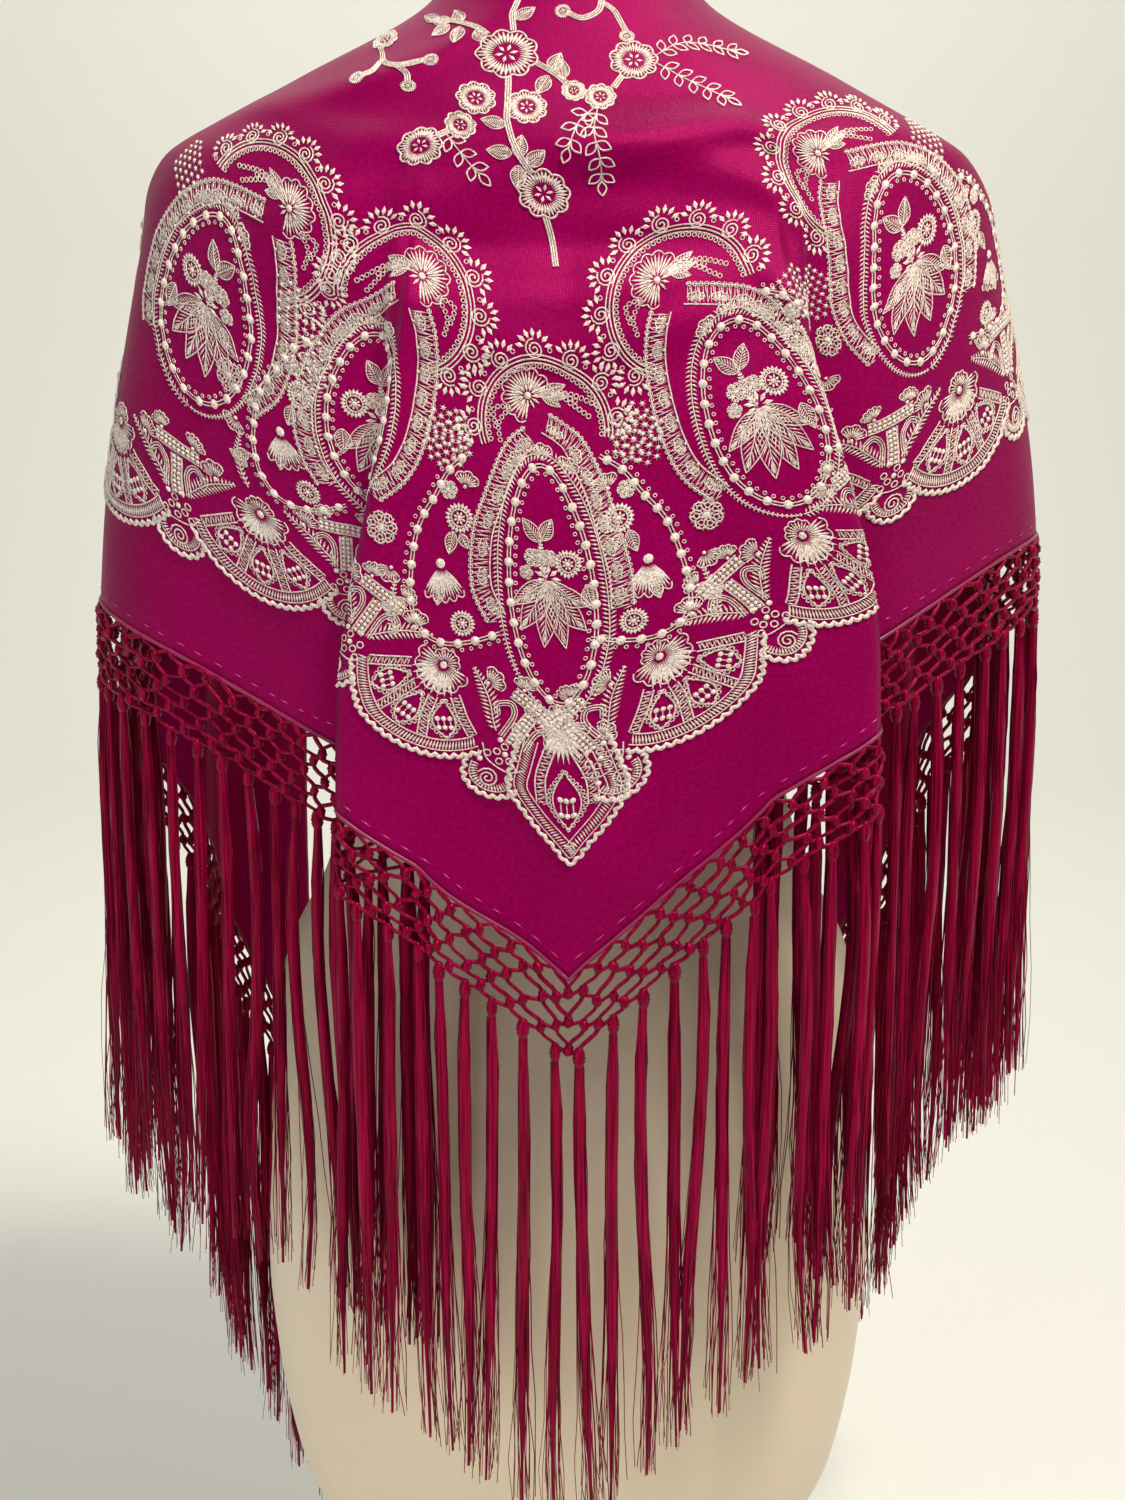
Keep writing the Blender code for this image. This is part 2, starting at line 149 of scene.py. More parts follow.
def mesh_object(name, points, faces, material):
    """A mesh object from an array of points and a list of face arrays, each with its own corner count."""
    mesh = bpy.data.meshes.new(name)
    points = np.asarray(points, dtype=np.float32)
    corners = np.concatenate([np.asarray(block, dtype=np.int32).ravel() for block in faces])
    counts = np.concatenate([np.full(len(block), np.shape(block)[1], dtype=np.int32) for block in faces])
    mesh.vertices.add(len(points))
    mesh.vertices.foreach_set("co", points.ravel())
    mesh.loops.add(len(corners))
    mesh.loops.foreach_set("vertex_index", corners)
    mesh.polygons.add(len(counts))
    mesh.polygons.foreach_set("loop_start", np.concatenate([[0], np.cumsum(counts)[:-1]]).astype(np.int32))
    mesh.update(calc_edges=True)
    mesh.validate()
    mesh.materials.append(material)
    mesh.shade_smooth()
    thing = bpy.data.objects.new(name, mesh)
    bpy.context.scene.collection.objects.link(thing)
    return thing


def triangles(thing):
    """How many triangles an object has with its modifiers."""
    mesh = thing.evaluated_get(bpy.context.evaluated_depsgraph_get()).data
    return sum(len(face.vertices) - 2 for face in mesh.polygons)


# %% [markdown]
# How the cloth hangs
#
# The cut is flat: a triangle, measured along its long edge and down from it. Worn, the long edge
# goes round the neck and down the front, and the cloth falls from it in lines that fan out over the
# shoulders. Blender's cloth simulation could find such a drape, but never the same pleats as the
# photograph. So each fall line is laid on level rings of named sizes, the length of cloth decides
# where its hem ends, and pleats and folds are placed one by one. The solids are laid the same way,
# but their pleats start higher and they have no small creases.

# %% Sizes of the cut and the rings
CUT_HALF_LENGTH = 0.82
CUT_DEPTH = 0.55
COLUMNS_A_SIDE = 60
COLUMN_STEP = CUT_HALF_LENGTH / COLUMNS_A_SIDE
NAPE_HEIGHT = 1.030
NECK_EDGE_FALL = 0.045
NECK_SHIFT = 0.040
SQUARENESS = 2.35

Ring = namedtuple("Ring", "height half_width back front")
CLOTH_RINGS = [
    Ring(1.036, 0.0560, 0.057, 0.052),
    Ring(1.006, 0.0710, 0.068, 0.062),
    Ring(0.962, 0.1480, 0.094, 0.084),
    Ring(0.941, 0.1865, 0.106, 0.094),
    Ring(0.922, 0.2155, 0.116, 0.104),
    Ring(0.900, 0.2270, 0.124, 0.112),
    Ring(0.874, 0.2325, 0.132, 0.120),
    Ring(0.830, 0.2405, 0.140, 0.128),
    Ring(0.763, 0.2510, 0.147, 0.133),
    Ring(0.712, 0.2560, 0.150, 0.135),
    Ring(0.600, 0.2640, 0.154, 0.137),
    Ring(0.497, 0.2680, 0.155, 0.136),
    Ring(0.300, 0.2680, 0.155, 0.134),
]

HemShare = namedtuple("HemShare", "hem_distance girth_share")
HEM_SHARES = {
    "right": [HemShare(0.0, 0.0), HemShare(0.1025, 0.149), HemShare(0.2665, 0.232),
              HemShare(0.430, 0.510), HemShare(0.560, 0.590), HemShare(0.820, 0.750)],
    "left": [HemShare(0.0, 0.0), HemShare(0.0752, 0.109), HemShare(0.198, 0.170),
             HemShare(0.420, 0.510), HemShare(0.560, 0.595), HemShare(0.820, 0.750)],
}

# The share of a fall line's length that small drag creases and the pleats take up
TakeUp = namedtuple("TakeUp", "hem_distance share")
TAKE_UPS = {
    "right": [TakeUp(0.0, 0.021), TakeUp(0.027, 0.040), TakeUp(0.055, 0.057), TakeUp(0.090, 0.064),
              TakeUp(0.150, 0.066), TakeUp(0.220, 0.058), TakeUp(0.300, 0.042), TakeUp(0.360, 0.024),
              TakeUp(0.450, 0.010), TakeUp(0.600, 0.0), TakeUp(0.820, 0.0)],
    "left": [TakeUp(0.0, 0.021), TakeUp(0.027, 0.040), TakeUp(0.060, 0.046), TakeUp(0.090, 0.056),
             TakeUp(0.120, 0.069), TakeUp(0.200, 0.065), TakeUp(0.300, 0.061), TakeUp(0.370, 0.061),
             TakeUp(0.450, 0.040), TakeUp(0.600, 0.010), TakeUp(0.820, 0.0)],
}

# %% Pleats, folds and small creases
Pleat = namedtuple("Pleat", "hem_start fold_width depth")
PLEATS = {"right": Pleat(7.5 * COLUMN_STEP, 4.0 * COLUMN_STEP, 0.021),
          "left": Pleat(5.5 * COLUMN_STEP, 3.0 * COLUMN_STEP, 0.021)}
PleatStep = namedtuple("PleatStep", "share advance depth")
PLEAT_COURSE = [
    PleatStep(0.000, 0.00, 1.00),
    PleatStep(0.140, 0.45, 1.01),
    PleatStep(0.280, 0.90, 0.96),
    PleatStep(0.333, 1.00, 0.78),
    PleatStep(0.387, 0.90, 0.60),
    PleatStep(0.500, 0.50, 0.50),
    PleatStep(0.613, 0.10, 0.40),
    PleatStep(0.667, 0.00, 0.22),
    PleatStep(0.720, 0.10, 0.04),
    PleatStep(0.860, 0.55, -0.01),
    PleatStep(1.000, 1.00, 0.00),
]
PLEAT_DEPTH_FADE = (0.27, 0.62)
PLEAT_OVERLAP_FADE = (0.42, 0.92)

Wave = namedtuple("Wave", "hem_centre half_width depth")
WAVES = {
    "right": [Wave(0.330, 0.055, -0.006), Wave(0.405, 0.055, 0.008), Wave(0.490, 0.065, -0.014),
              Wave(0.580, 0.065, 0.020), Wave(0.665, 0.060, -0.015), Wave(0.750, 0.060, 0.018)],
    "left": [Wave(0.270, 0.055, -0.005), Wave(0.350, 0.060, 0.008), Wave(0.450, 0.065, -0.016),
             Wave(0.545, 0.065, 0.021), Wave(0.635, 0.060, -0.014), Wave(0.730, 0.065, 0.019)],
}
WAVE_FADE = (0.30, 1.00)

# Soft ridges and troughs: across and down are on the flat cut, turn is in degrees, troughs are negative
Crease = namedtuple("Crease", "across down length width turn depth")
CREASES = [
    Crease(-0.070, 0.080, 0.130, 0.011, -24, 0.0063),
    Crease(0.040, 0.118, 0.120, 0.012, 14, 0.0060),
    Crease(-0.030, 0.150, 0.150, 0.013, -10, 0.0066),
    Crease(0.085, 0.150, 0.120, 0.012, 26, 0.0063),
    Crease(-0.100, 0.150, 0.100, 0.012, -34, 0.0060),
    Crease(0.030, 0.200, 0.110, 0.013, -8, 0.0063),
    Crease(-0.045, 0.205, 0.090, 0.012, 12, 0.0054),
    Crease(0.110, 0.215, 0.100, 0.013, 38, 0.0054),
    Crease(-0.008, 0.176, 0.100, 0.010, 8, -0.0045),
    Crease(0.062, 0.184, 0.090, 0.010, 18, -0.0045),
    Crease(0.060, 0.330, 0.150, 0.020, 64, -0.0045),
    Crease(-0.045, 0.350, 0.150, 0.020, -70, -0.0045),
    Crease(-0.030, 0.470, 0.130, 0.020, 76, -0.0045),
    Crease(0.035, 0.480, 0.130, 0.018, -74, 0.0045),
    Crease(0.200, 0.120, 0.120, 0.016, 35, 0.0054),
    Crease(-0.200, 0.115, 0.120, 0.016, -32, 0.0054),
    Crease(0.330, 0.110, 0.130, 0.020, 50, 0.0045),
    Crease(-0.330, 0.120, 0.130, 0.020, -48, 0.0045),
    Crease(0.470, 0.060, 0.130, 0.018, 20, -0.0042),
    Crease(-0.480, 0.065, 0.130, 0.018, -24, -0.0042),
    Crease(0.000, 0.125, 0.200, 0.011, 3, 0.0050),
    Crease(0.020, 0.225, 0.160, 0.013, -4, 0.0056),
    Crease(0.090, 0.118, 0.140, 0.011, 10, 0.0050),
    Crease(-0.075, 0.178, 0.120, 0.012, -8, 0.0050),
]

CREASE_BEND = 1.6
CREASE_FADE = (0.02, 0.14)

# Where the cloth rests on the form's shoulders a trough has no room
RESTS_ABOVE = 0.925
TROUGH_LIMIT = 0.0004
TROUGH_SLOPE = 0.20


def smooth_step(value, low, high):
    """Rise softly from 0 at low to 1 at high."""
    share = np.clip((np.asarray(value) - low) / (high - low), 0.0, 1.0)
    return share * share * (3.0 - 2.0 * share)


def along(rows, key, column, value):
    """Read a table's column at values of its key column, on a curve that never overshoots."""
    keys = np.array([getattr(row, key) for row in rows])
    values = np.array([getattr(row, column) for row in rows])
    order = np.argsort(keys)
    keys = keys[order]
    values = values[order]
    steps = np.diff(keys)
    rises = np.diff(values) / steps
    slopes = np.zeros_like(values)
    slopes[0] = rises[0]
    slopes[-1] = rises[-1]
    same_way = rises[:-1] * rises[1:] > 0
    slopes[1:-1][same_way] = (2.0 * rises[:-1] * rises[1:] / (rises[:-1] + rises[1:] + 1e-12))[same_way]
    value = np.clip(value, keys[0], keys[-1])
    place = np.clip(np.searchsorted(keys, value) - 1, 0, len(steps) - 1)
    t = (value - keys[place]) / steps[place]
    return ((1 + 2 * t) * (1 - t) ** 2 * values[place] + t * (1 - t) ** 2 * steps[place] * slopes[place]
            + t * t * (3 - 2 * t) * values[place + 1] - t * t * (1 - t) * steps[place] * slopes[place + 1])


# %% The smooth hanging form
LEVELS = 241
GIRTH_SAMPLES = 181


def distances_along(points):
    """The distance of each point from the first one, along a row of points."""
    return np.concatenate([[0.0], np.cumsum(np.linalg.norm(np.diff(points, axis=0), axis=1))])


def ring_sizes(rings, height):
    """A table's half width, back and front at a height."""
    return [float(along(rings, "height", name, height)) for name in ("half_width", "back", "front")]


def ring_outline(width, back, front, squareness, angles):
    """Points of a level section; the angle is 0 at the centre back and half a turn at the front."""
    power = 2.0 / squareness
    across = np.sign(np.sin(angles)) * np.abs(np.sin(angles)) ** power
    deep = np.abs(np.cos(angles)) ** power
    return np.stack([width * across, np.where(np.cos(angles) > 0.0, -back * deep, front * deep)], axis=-1)


heights = np.linspace(CLOTH_RINGS[0].height, CLOTH_RINGS[-1].height, LEVELS)
shares = np.linspace(0.0, 1.0, GIRTH_SAMPLES)
half_girths = np.zeros(LEVELS)
girth_points = np.zeros((LEVELS, GIRTH_SAMPLES, 2))
for level, height in enumerate(heights):
    half_turn = np.linspace(0.0, pi, 4 * GIRTH_SAMPLES)
    outline = ring_outline(*ring_sizes(CLOTH_RINGS, height), SQUARENESS, half_turn)
    lengths = distances_along(outline)
    half_girths[level] = lengths[-1]
    for axis in range(2):
        girth_points[level, :, axis] = np.interp(shares * lengths[-1], lengths, outline[:, axis])


def level_point(height, share):
    """Points at shares of the half girth at heights, and the level way out of the cloth there."""
    height = np.asarray(height, dtype=float)
    share = np.asarray(share, dtype=float)
    level = np.clip((heights[0] - height) / (heights[0] - heights[-1]) * (LEVELS - 1), 0, LEVELS - 1.001)
    low = level.astype(int)
    part = (level - low)[..., None]

    def read(place):
        spot = np.clip(np.abs(place) * (GIRTH_SAMPLES - 1), 0, GIRTH_SAMPLES - 1.001)
        left = spot.astype(int)
        mix = (spot - left)[..., None]
        upper = girth_points[low, left] * (1 - mix) + girth_points[low, left + 1] * mix
        lower = girth_points[low + 1, left] * (1 - mix) + girth_points[low + 1, left + 1] * mix
        point = upper * (1 - part) + lower * part
        return point * np.stack([np.where(place < 0.0, -1.0, 1.0), np.ones_like(place)], axis=-1)

    step = 1.5 / GIRTH_SAMPLES
    tangent = read(share + step) - read(share - step)
    tangent /= np.linalg.norm(tangent, axis=-1, keepdims=True)
    return read(share), np.stack([tangent[..., 1], -tangent[..., 0]], axis=-1)


def neck_height(share):
    """Height of the neck edge at a share of the girth."""
    return NAPE_HEIGHT - NECK_EDGE_FALL * share


neck_shares = np.linspace(0.0, 1.0, 240)
neck_heights = neck_height(neck_shares)
neck_edge = np.column_stack([level_point(neck_heights, neck_shares)[0], neck_heights])
neck_lengths = distances_along(neck_edge)


def crease_depth(across, down):
    """How far the small creases move the cloth at places of the flat cut."""
    depth = np.zeros_like(across)
    for crease in CREASES:
        turn = radians(crease.turn)
        along_it = (across - crease.across) * cos(turn) + (down - crease.down) * sin(turn)
        off_it = (down - crease.down) * cos(turn) - (across - crease.across) * sin(turn)
        off_it = off_it + CREASE_BEND * along_it ** 2
        depth += crease.depth * np.exp(-(2.0 * along_it / crease.length) ** 2 - (off_it / crease.width) ** 2)
    return depth


def cloth_column(side, hem_distance, falls):
    """Points of one fall line from the neck edge to the hem, and their places on the flat cut."""
    hand = 1.0 if side == "right" else -1.0
    share = float(along(HEM_SHARES[side], "hem_distance", "girth_share", hem_distance))
    start = float(np.interp(share, neck_shares, neck_lengths)) + hand * NECK_SHIFT
    drop = CUT_DEPTH * (1.0 - hem_distance / CUT_HALF_LENGTH)
    taken = float(along(TAKE_UPS[side], "hem_distance", "share", hem_distance))
    length = hypot(hem_distance - start, drop) * (1.0 - taken)
    fall_heights = np.linspace(neck_height(share), heights[-1], LEVELS)
    line = np.column_stack([level_point(fall_heights, np.full(LEVELS, share))[0], fall_heights])
    lengths = distances_along(line)
    height = np.interp(falls * length, lengths, fall_heights)
    flat = np.column_stack([hand * (start + falls * (hem_distance - start)), falls * drop])
    pleat = PLEATS[side]
    standing = pleat.depth * smooth_step(falls, *PLEAT_DEPTH_FADE)
    across = (hem_distance - pleat.hem_start) / (3.0 * pleat.fold_width)
    shift = np.zeros_like(falls)
    if across >= 1.0:
        standing = np.zeros_like(falls)
    elif across > 0.0:
        overlap = pleat.fold_width * smooth_step(falls, *PLEAT_OVERLAP_FADE)
        shift = overlap * (float(along(PLEAT_COURSE, "share", "advance", across)) - across)
        standing = standing * float(along(PLEAT_COURSE, "share", "depth", across))
    for wave in WAVES[side]:
        near = (hem_distance - wave.hem_centre) / wave.half_width
        if abs(near) < 1.0:
            standing = standing + wave.depth * cos(0.5 * pi * near) ** 2 * smooth_step(falls, *WAVE_FADE)
    creased = crease_depth(flat[:, 0], flat[:, 1]) * smooth_step(falls, *CREASE_FADE)
    room = TROUGH_LIMIT + TROUGH_SLOPE * np.clip(RESTS_ABOVE - height, 0.0, None)
    standing = standing + np.maximum(creased, -room)
    girth = np.interp(-height, -heights, half_girths)
    place, outward = level_point(height, share + shift / girth)
    place = place + standing[:, None] * outward
    return np.column_stack([hand * place[:, 0], place[:, 1], height]), flat


# %% Lay the cloth's grid
CLOTH_COLUMNS_A_SIDE = 180
CLOTH_ROWS = 84
CLOTH_LIFT = 0.0008

falls = np.linspace(0.0, 1.0, CLOTH_ROWS + 1)
hem_distances = np.linspace(0.0, CUT_HALF_LENGTH, CLOTH_COLUMNS_A_SIDE + 1)
columns = [cloth_column("left", distance, falls) for distance in hem_distances[:0:-1]]
columns += [cloth_column("right", distance, falls) for distance in hem_distances]
cloth_points = np.array([column[0] for column in columns])
cloth_flat = np.array([column[1] for column in columns])
signed_hem = np.concatenate([-hem_distances[:0:-1], hem_distances])

down_way = np.gradient(cloth_points, axis=1)
side_way = np.gradient(cloth_points, axis=0)
cloth_out = np.cross(down_way, side_way)
cloth_out /= np.linalg.norm(cloth_out, axis=-1, keepdims=True) + 1e-12
cloth_points = cloth_points + CLOTH_LIFT * cloth_out
print("hem tip height", round(float(cloth_points[CLOTH_COLUMNS_A_SIDE, -1, 2]), 3),
      "front tips", cloth_points[0, -1].round(3), cloth_points[-1, -1].round(3))


# %% Places of the flat cut on the hanging cloth
MAP_LEVELS = 221
HALVINGS = 9

hem_downs = CUT_DEPTH * (1.0 - np.abs(signed_hem) / CUT_HALF_LENGTH)
map_downs = np.linspace(0.0, CUT_DEPTH * 0.996, MAP_LEVELS)
across_map = np.zeros((len(signed_hem), MAP_LEVELS))
for level, down in enumerate(map_downs):
    row = np.clip(down / np.maximum(hem_downs, 1e-9), 0.0, 1.0) * CLOTH_ROWS
    top = np.minimum(row.astype(int), CLOTH_ROWS - 1)
    mix = (row - top)[:, None]
    every = np.arange(len(signed_hem))
    thread_line = cloth_points[every, top] * (1.0 - mix) + cloth_points[every, top + 1] * mix
    reach = distances_along(thread_line)
    reach = reach - reach[CLOTH_COLUMNS_A_SIDE]
    middle = NECK_SHIFT * (1.0 - down / CUT_DEPTH)
    edge = CUT_HALF_LENGTH * (1.0 - down / CUT_DEPTH)
    ends = np.interp([-edge, edge], signed_hem, reach)
    reach = np.where(reach < 0.0, reach * (edge + middle) / -ends[0], reach * (edge - middle) / ends[1])
    across_map[:, level] = middle + reach

grid_level = cloth_flat[..., 1] / map_downs[-1] * (MAP_LEVELS - 1)
low_level = np.clip(grid_level.astype(int), 0, MAP_LEVELS - 2)
column_number = np.arange(len(signed_hem))[:, None]
mix = np.clip(grid_level - low_level, 0.0, 1.0)
cloth_flat[..., 0] = (across_map[column_number, low_level] * (1.0 - mix)
                      + across_map[column_number, low_level + 1] * mix)


def on_cloth(flat, lift):
    """Points above the cloth at places of the flat cut; lift is measured along the way out."""
    down = np.clip(flat[:, 1], 0.0, map_downs[-1] * 0.9999)
    level = down / map_downs[-1] * (MAP_LEVELS - 1)
    upper = level.astype(int)
    mix = level - upper

    def across_at(columns):
        return across_map[columns, upper] * (1.0 - mix) + across_map[columns, upper + 1] * mix

    low = np.zeros(len(flat), dtype=int)
    high = np.full(len(flat), len(signed_hem) - 1)
    for _ in range(HALVINGS):
        middle = (low + high) // 2
        too_far = across_at(middle) > flat[:, 0]
        high = np.where(too_far, middle, high)
        low = np.where(too_far, low, middle)
    low = np.minimum(low, len(signed_hem) - 2)
    first = across_at(low)
    column = low + np.clip((flat[:, 0] - first) / (across_at(low + 1) - first + 1e-12), 0.0, 1.0)
    hem_down = np.interp(column, np.arange(len(signed_hem)), hem_downs)
    row = np.clip(down / np.maximum(hem_down, 1e-9), 0.0, 1.0) * CLOTH_ROWS
    left = np.minimum(column.astype(int), len(signed_hem) - 2)
    top = np.minimum(row.astype(int), CLOTH_ROWS - 1)
    side_mix = (column - left)[:, None]
    part = (row - top)[:, None]

    def read(grid):
        return ((grid[left, top] * (1 - part) + grid[left, top + 1] * part) * (1 - side_mix)
                + (grid[left + 1, top] * (1 - part) + grid[left + 1, top + 1] * part) * side_mix)

    return read(cloth_points) + np.asarray(lift)[:, None] * read(cloth_out)


# %% [markdown]
# The silk
#
# Crepe-backed silk satin: a smooth face of long floats that gives a broad soft shine, over a
# twisted crepe ground that shows as a fine grain. It is thin enough to glow where light comes
# through one layer. The threads are about 0.1 mm apart, too fine for the picture, so the weave is
# drawn nine times coarser. A mixed-in Translucent shader passes the light from behind.

# %% Silk material
WEAVE_MM = 0.9
GRAIN_MM = 2.4
SHADE_MM = 60.0

silk, tree, shader = start_material("magenta_silk_satin", Roughness=0.42, IOR=1.5, Specular_IOR_Level=0.75,
                                    Specular_Tint=linear("#FF1F88"),
                                    Sheen_Weight=0.05, Sheen_Roughness=0.40, Sheen_Tint=linear("#FF2F98"))
on_cut = add_node(tree, "ShaderNodeUVMap", uv_map="cut").outputs["UV"]
grain = add_node(tree, "ShaderNodeTexNoise", {"Vector": on_cut, "Scale": 1.0 / (GRAIN_MM * MM),
                                              "Detail": 4.0, "Roughness": 0.65})
shade = add_node(tree, "ShaderNodeTexNoise", {"Vector": on_cut, "Scale": 1.0 / (SHADE_MM * MM),
                                              "Detail": 3.0})
colours = add_node(tree, "ShaderNodeValToRGB", {"Fac": grain.outputs["Fac"]})
for element, position, colour in zip(colours.color_ramp.elements, (0.30, 0.72), ("#800044", "#A8005E")):
    element.position = position
    element.color = linear(colour)
deep = add_node(tree, "ShaderNodeMapRange", {"Value": shade.outputs["Fac"], "From Min": 0.3, "From Max": 0.7,
                                             "To Min": 0.90, "To Max": 1.06})
toned = add_node(tree, "ShaderNodeVectorMath", {0: colours.outputs["Color"], 1: (1.0, 1.0, 1.0)},
                 operation="SCALE")
tree.links.new(deep.outputs["Result"], toned.inputs["Scale"])
tree.links.new(toned.outputs["Vector"], shader.inputs["Base Color"])
threads = {"Vector": on_cut, "Scale": 0.314 / (WEAVE_MM * MM), "Distortion": 1.2, "Detail": 1.0}
warp = add_node(tree, "ShaderNodeTexWave", threads, bands_direction="X")
weft = add_node(tree, "ShaderNodeTexWave", threads, bands_direction="Y")
weave = add_node(tree, "ShaderNodeMath", {0: warp.outputs["Fac"], 1: weft.outputs["Fac"]}, operation="ADD")
texture = add_node(tree, "ShaderNodeMath", {0: weave.outputs["Value"], 1: grain.outputs["Fac"]},
                   operation="ADD")
bump = add_node(tree, "ShaderNodeBump",
                {"Height": texture.outputs["Value"], "Strength": 0.22, "Distance": 0.0004})
tree.links.new(bump.outputs["Normal"], shader.inputs["Normal"])
glow = add_node(tree, "ShaderNodeBsdfTranslucent",
                {"Color": linear("#C80A70"), "Normal": bump.outputs["Normal"]})
mixed = add_node(tree, "ShaderNodeMixShader", {0: 0.16, 1: shader.outputs["BSDF"], 2: glow.outputs["BSDF"]})
output = tree.nodes["Material Output"]
tree.links.new(mixed.outputs["Shader"], output.inputs["Surface"])

# %% Silk cloth
SILK_THICKNESS = 0.0006

columns_count, rows_count = cloth_points.shape[:2]
index = np.arange(columns_count * rows_count).reshape(columns_count, rows_count)
quads = np.stack([index[:-1, :-1], index[:-1, 1:], index[1:, 1:], index[1:, :-1]], axis=-1).reshape(-1, 4)
cloth = mesh_object("silk_shawl", cloth_points.reshape(-1, 3), [quads], silk)
uv = cloth.data.uv_layers.new(name="cut")
loop_points = np.zeros(len(cloth.data.loops), dtype=np.int32)
cloth.data.loops.foreach_get("vertex_index", loop_points)
uv.data.foreach_set("uv", cloth_flat.reshape(-1, 2)[loop_points].astype(np.float32).ravel())
wall = cloth.modifiers.new("thickness", "SOLIDIFY")
wall.thickness = SILK_THICKNESS
wall.offset = -1.0
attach(cloth, ROOT)
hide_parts("silk_panel")
print("silk triangles", triangles(cloth))

# %% [markdown]
# Cords, tubes and turned knots
#
# Every cord, tassel and knot is a tube through a row of points. A curve object with a bevel would do
# the same, but thousands of them are far quicker as one mesh. One function sweeps a whole batch of
# paths at once, with a radius for each point.

# %% Tube function
Work = namedtuple("Work", "points faces")
TUBE_FACING = np.array([0.35, -0.93, 0.1])


def sweep_tubes(paths, radii, sides, facing=TUBE_FACING):
    """Tubes along paths (count, steps, 3) with radii (count, steps). No path may run along facing."""
    count, steps = paths.shape[:2]
    way = np.gradient(paths, axis=1)
    way /= np.linalg.norm(way, axis=-1, keepdims=True) + 1e-12
    across = np.cross(way, np.broadcast_to(facing, way.shape))
    across /= np.linalg.norm(across, axis=-1, keepdims=True) + 1e-12
    upright = np.cross(across, way)
    turns = np.linspace(0.0, 2.0 * pi, sides, endpoint=False)
    rim = (np.cos(turns)[:, None] * across[:, :, None, :] + np.sin(turns)[:, None] * upright[:, :, None, :])
    points = (paths[:, :, None, :] + radii[:, :, None, None] * rim).reshape(-1, 3)
    index = np.arange(count * steps * sides).reshape(count, steps, sides)
    after = np.roll(index, -1, axis=2)
    faces = np.stack([index[:, :-1], after[:, :-1], after[:, 1:], index[:, 1:]], axis=-1).reshape(-1, 4)
    return Work(points, faces)


def join(works):
    """Several pieces of work as one."""
    starts = np.cumsum([0] + [len(work.points) for work in works[:-1]])
    return Work(np.concatenate([work.points for work in works]),
                np.concatenate([work.faces + start for work, start in zip(works, starts)]))


# %% [markdown]
# The rolled hem
#
# The silk's edge is rolled twice and caught down by hand. It shows as a thin round rim, with short
# running stitches of brighter thread about 6 mm inside it.

# %% Hem
HEM_RADIUS = 0.0011
STITCH_INSET = 6.5
STITCH_LENGTH = 5.5
STITCH_PITCH = 11.0

hem_silk, tree, shader = start_material("rolled_silk_edge", Roughness=0.42, Sheen_Weight=0.3)
shader.inputs["Base Color"].default_value = linear("#8E0048")
edges = [cloth_points[:, -1], cloth_points[0], cloth_points[-1], cloth_points[:, 0]]
rims = []
for edge in edges:
    facing = np.array([0.0, 0.0, 1.0]) if edge is edges[0] or edge is edges[3] else np.array([1.0, 0.0, 0.0])
    wobble = 1.0 + 0.10 * np.sin(np.arange(len(edge)) * 1.9)
    rims.append(sweep_tubes(edge[None], HEM_RADIUS * wobble[None], 6, facing))
rim = join(rims)
hem = mesh_object("rolled_hem", rim.points, [rim.faces], hem_silk)
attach(hem, ROOT)
print("hem triangles", triangles(hem))

# %% [markdown]
# The knotted net
#
# Pairs of silk cords are hooked through the hem and knotted into diamonds, the way macrame is made,
# with five levels of knots above the tassels' heads. Each knot is several wraps of one cord round the
# other. The net hangs plumb from the hem, so a knot's place is a distance along it and a drop.

# %% Fringe material
fringe_silk, tree, shader = start_material("burgundy_silk_thread", Roughness=0.34, IOR=1.5,
                                           Specular_IOR_Level=0.8, Specular_Tint=linear("#FF3868"))
place = add_node(tree, "ShaderNodeTexCoord")
drawn = add_node(tree, "ShaderNodeMapping", {"Vector": place.outputs["Object"],
                                             "Scale": (900.0, 900.0, 22.0)})
fibres = mottle(tree, shader, drawn.outputs["Vector"], 1.0, 2.0, [(0.32, "#4A001A"), (0.66, "#98053A")])
roughen(tree, shader, fibres, 0.35, 0.0006)

# %% Net and tassels
NET_DROPS = (0.0006, 0.0072, 0.0149, 0.0227, 0.0304, 0.0382, 0.0460)
HEAD_ROW = len(NET_DROPS) - 1
KNOT_HALF = 0.0034
KNOT_RADIUS = 0.0026
HEAD_HALF = 0.0058
HEAD_RADIUS = 0.0031
CORD_RADIUS = 0.0011
CORD_STEPS = 5
TASSEL_LENGTH = 0.274
TASSEL_UNEVEN = 0.006
TASSEL_RADIUS = 0.0030
TASSEL_STEPS = 13
THREADS = 20
THREAD_STEPS = 10
THREAD_RADIUS = 0.00042
DOWN = np.array([0.0, 0.0, -1.0])
chance = np.random.default_rng(41)


def hem_place(places, drops):
    """Points under the hem at signed places along it, and the level way out there."""
    points = np.stack([np.interp(places, signed_hem, cloth_points[:, -1, axis]) for axis in range(3)],
                      axis=-1)
    out = np.stack([np.interp(places, signed_hem, cloth_out[:, -1, axis]) for axis in range(3)], axis=-1)
    out[..., 2] = 0.0
    out /= np.linalg.norm(out, axis=-1, keepdims=True)
    return points + np.asarray(drops)[..., None] * DOWN, out


def knots(centres, ways, half, radius, sides, rings, wraps):
    """Wrapped knots: tubes that swell in the middle, with a ridge for each wrap."""
    along_it = np.linspace(-1.0, 1.0, rings)
    swell = np.sqrt(np.clip(1.0 - 0.90 * along_it ** 2, 0.0, None))
    ridge = 1.0 + 0.10 * np.cos(along_it * pi * wraps)
    paths = centres[:, None] + half * along_it[None, :, None] * ways[:, None]
    sizes = radius * (swell * ridge)[None] * chance.uniform(0.88, 1.12, (len(centres), 1))
    return sweep_tubes(paths, sizes, sides)


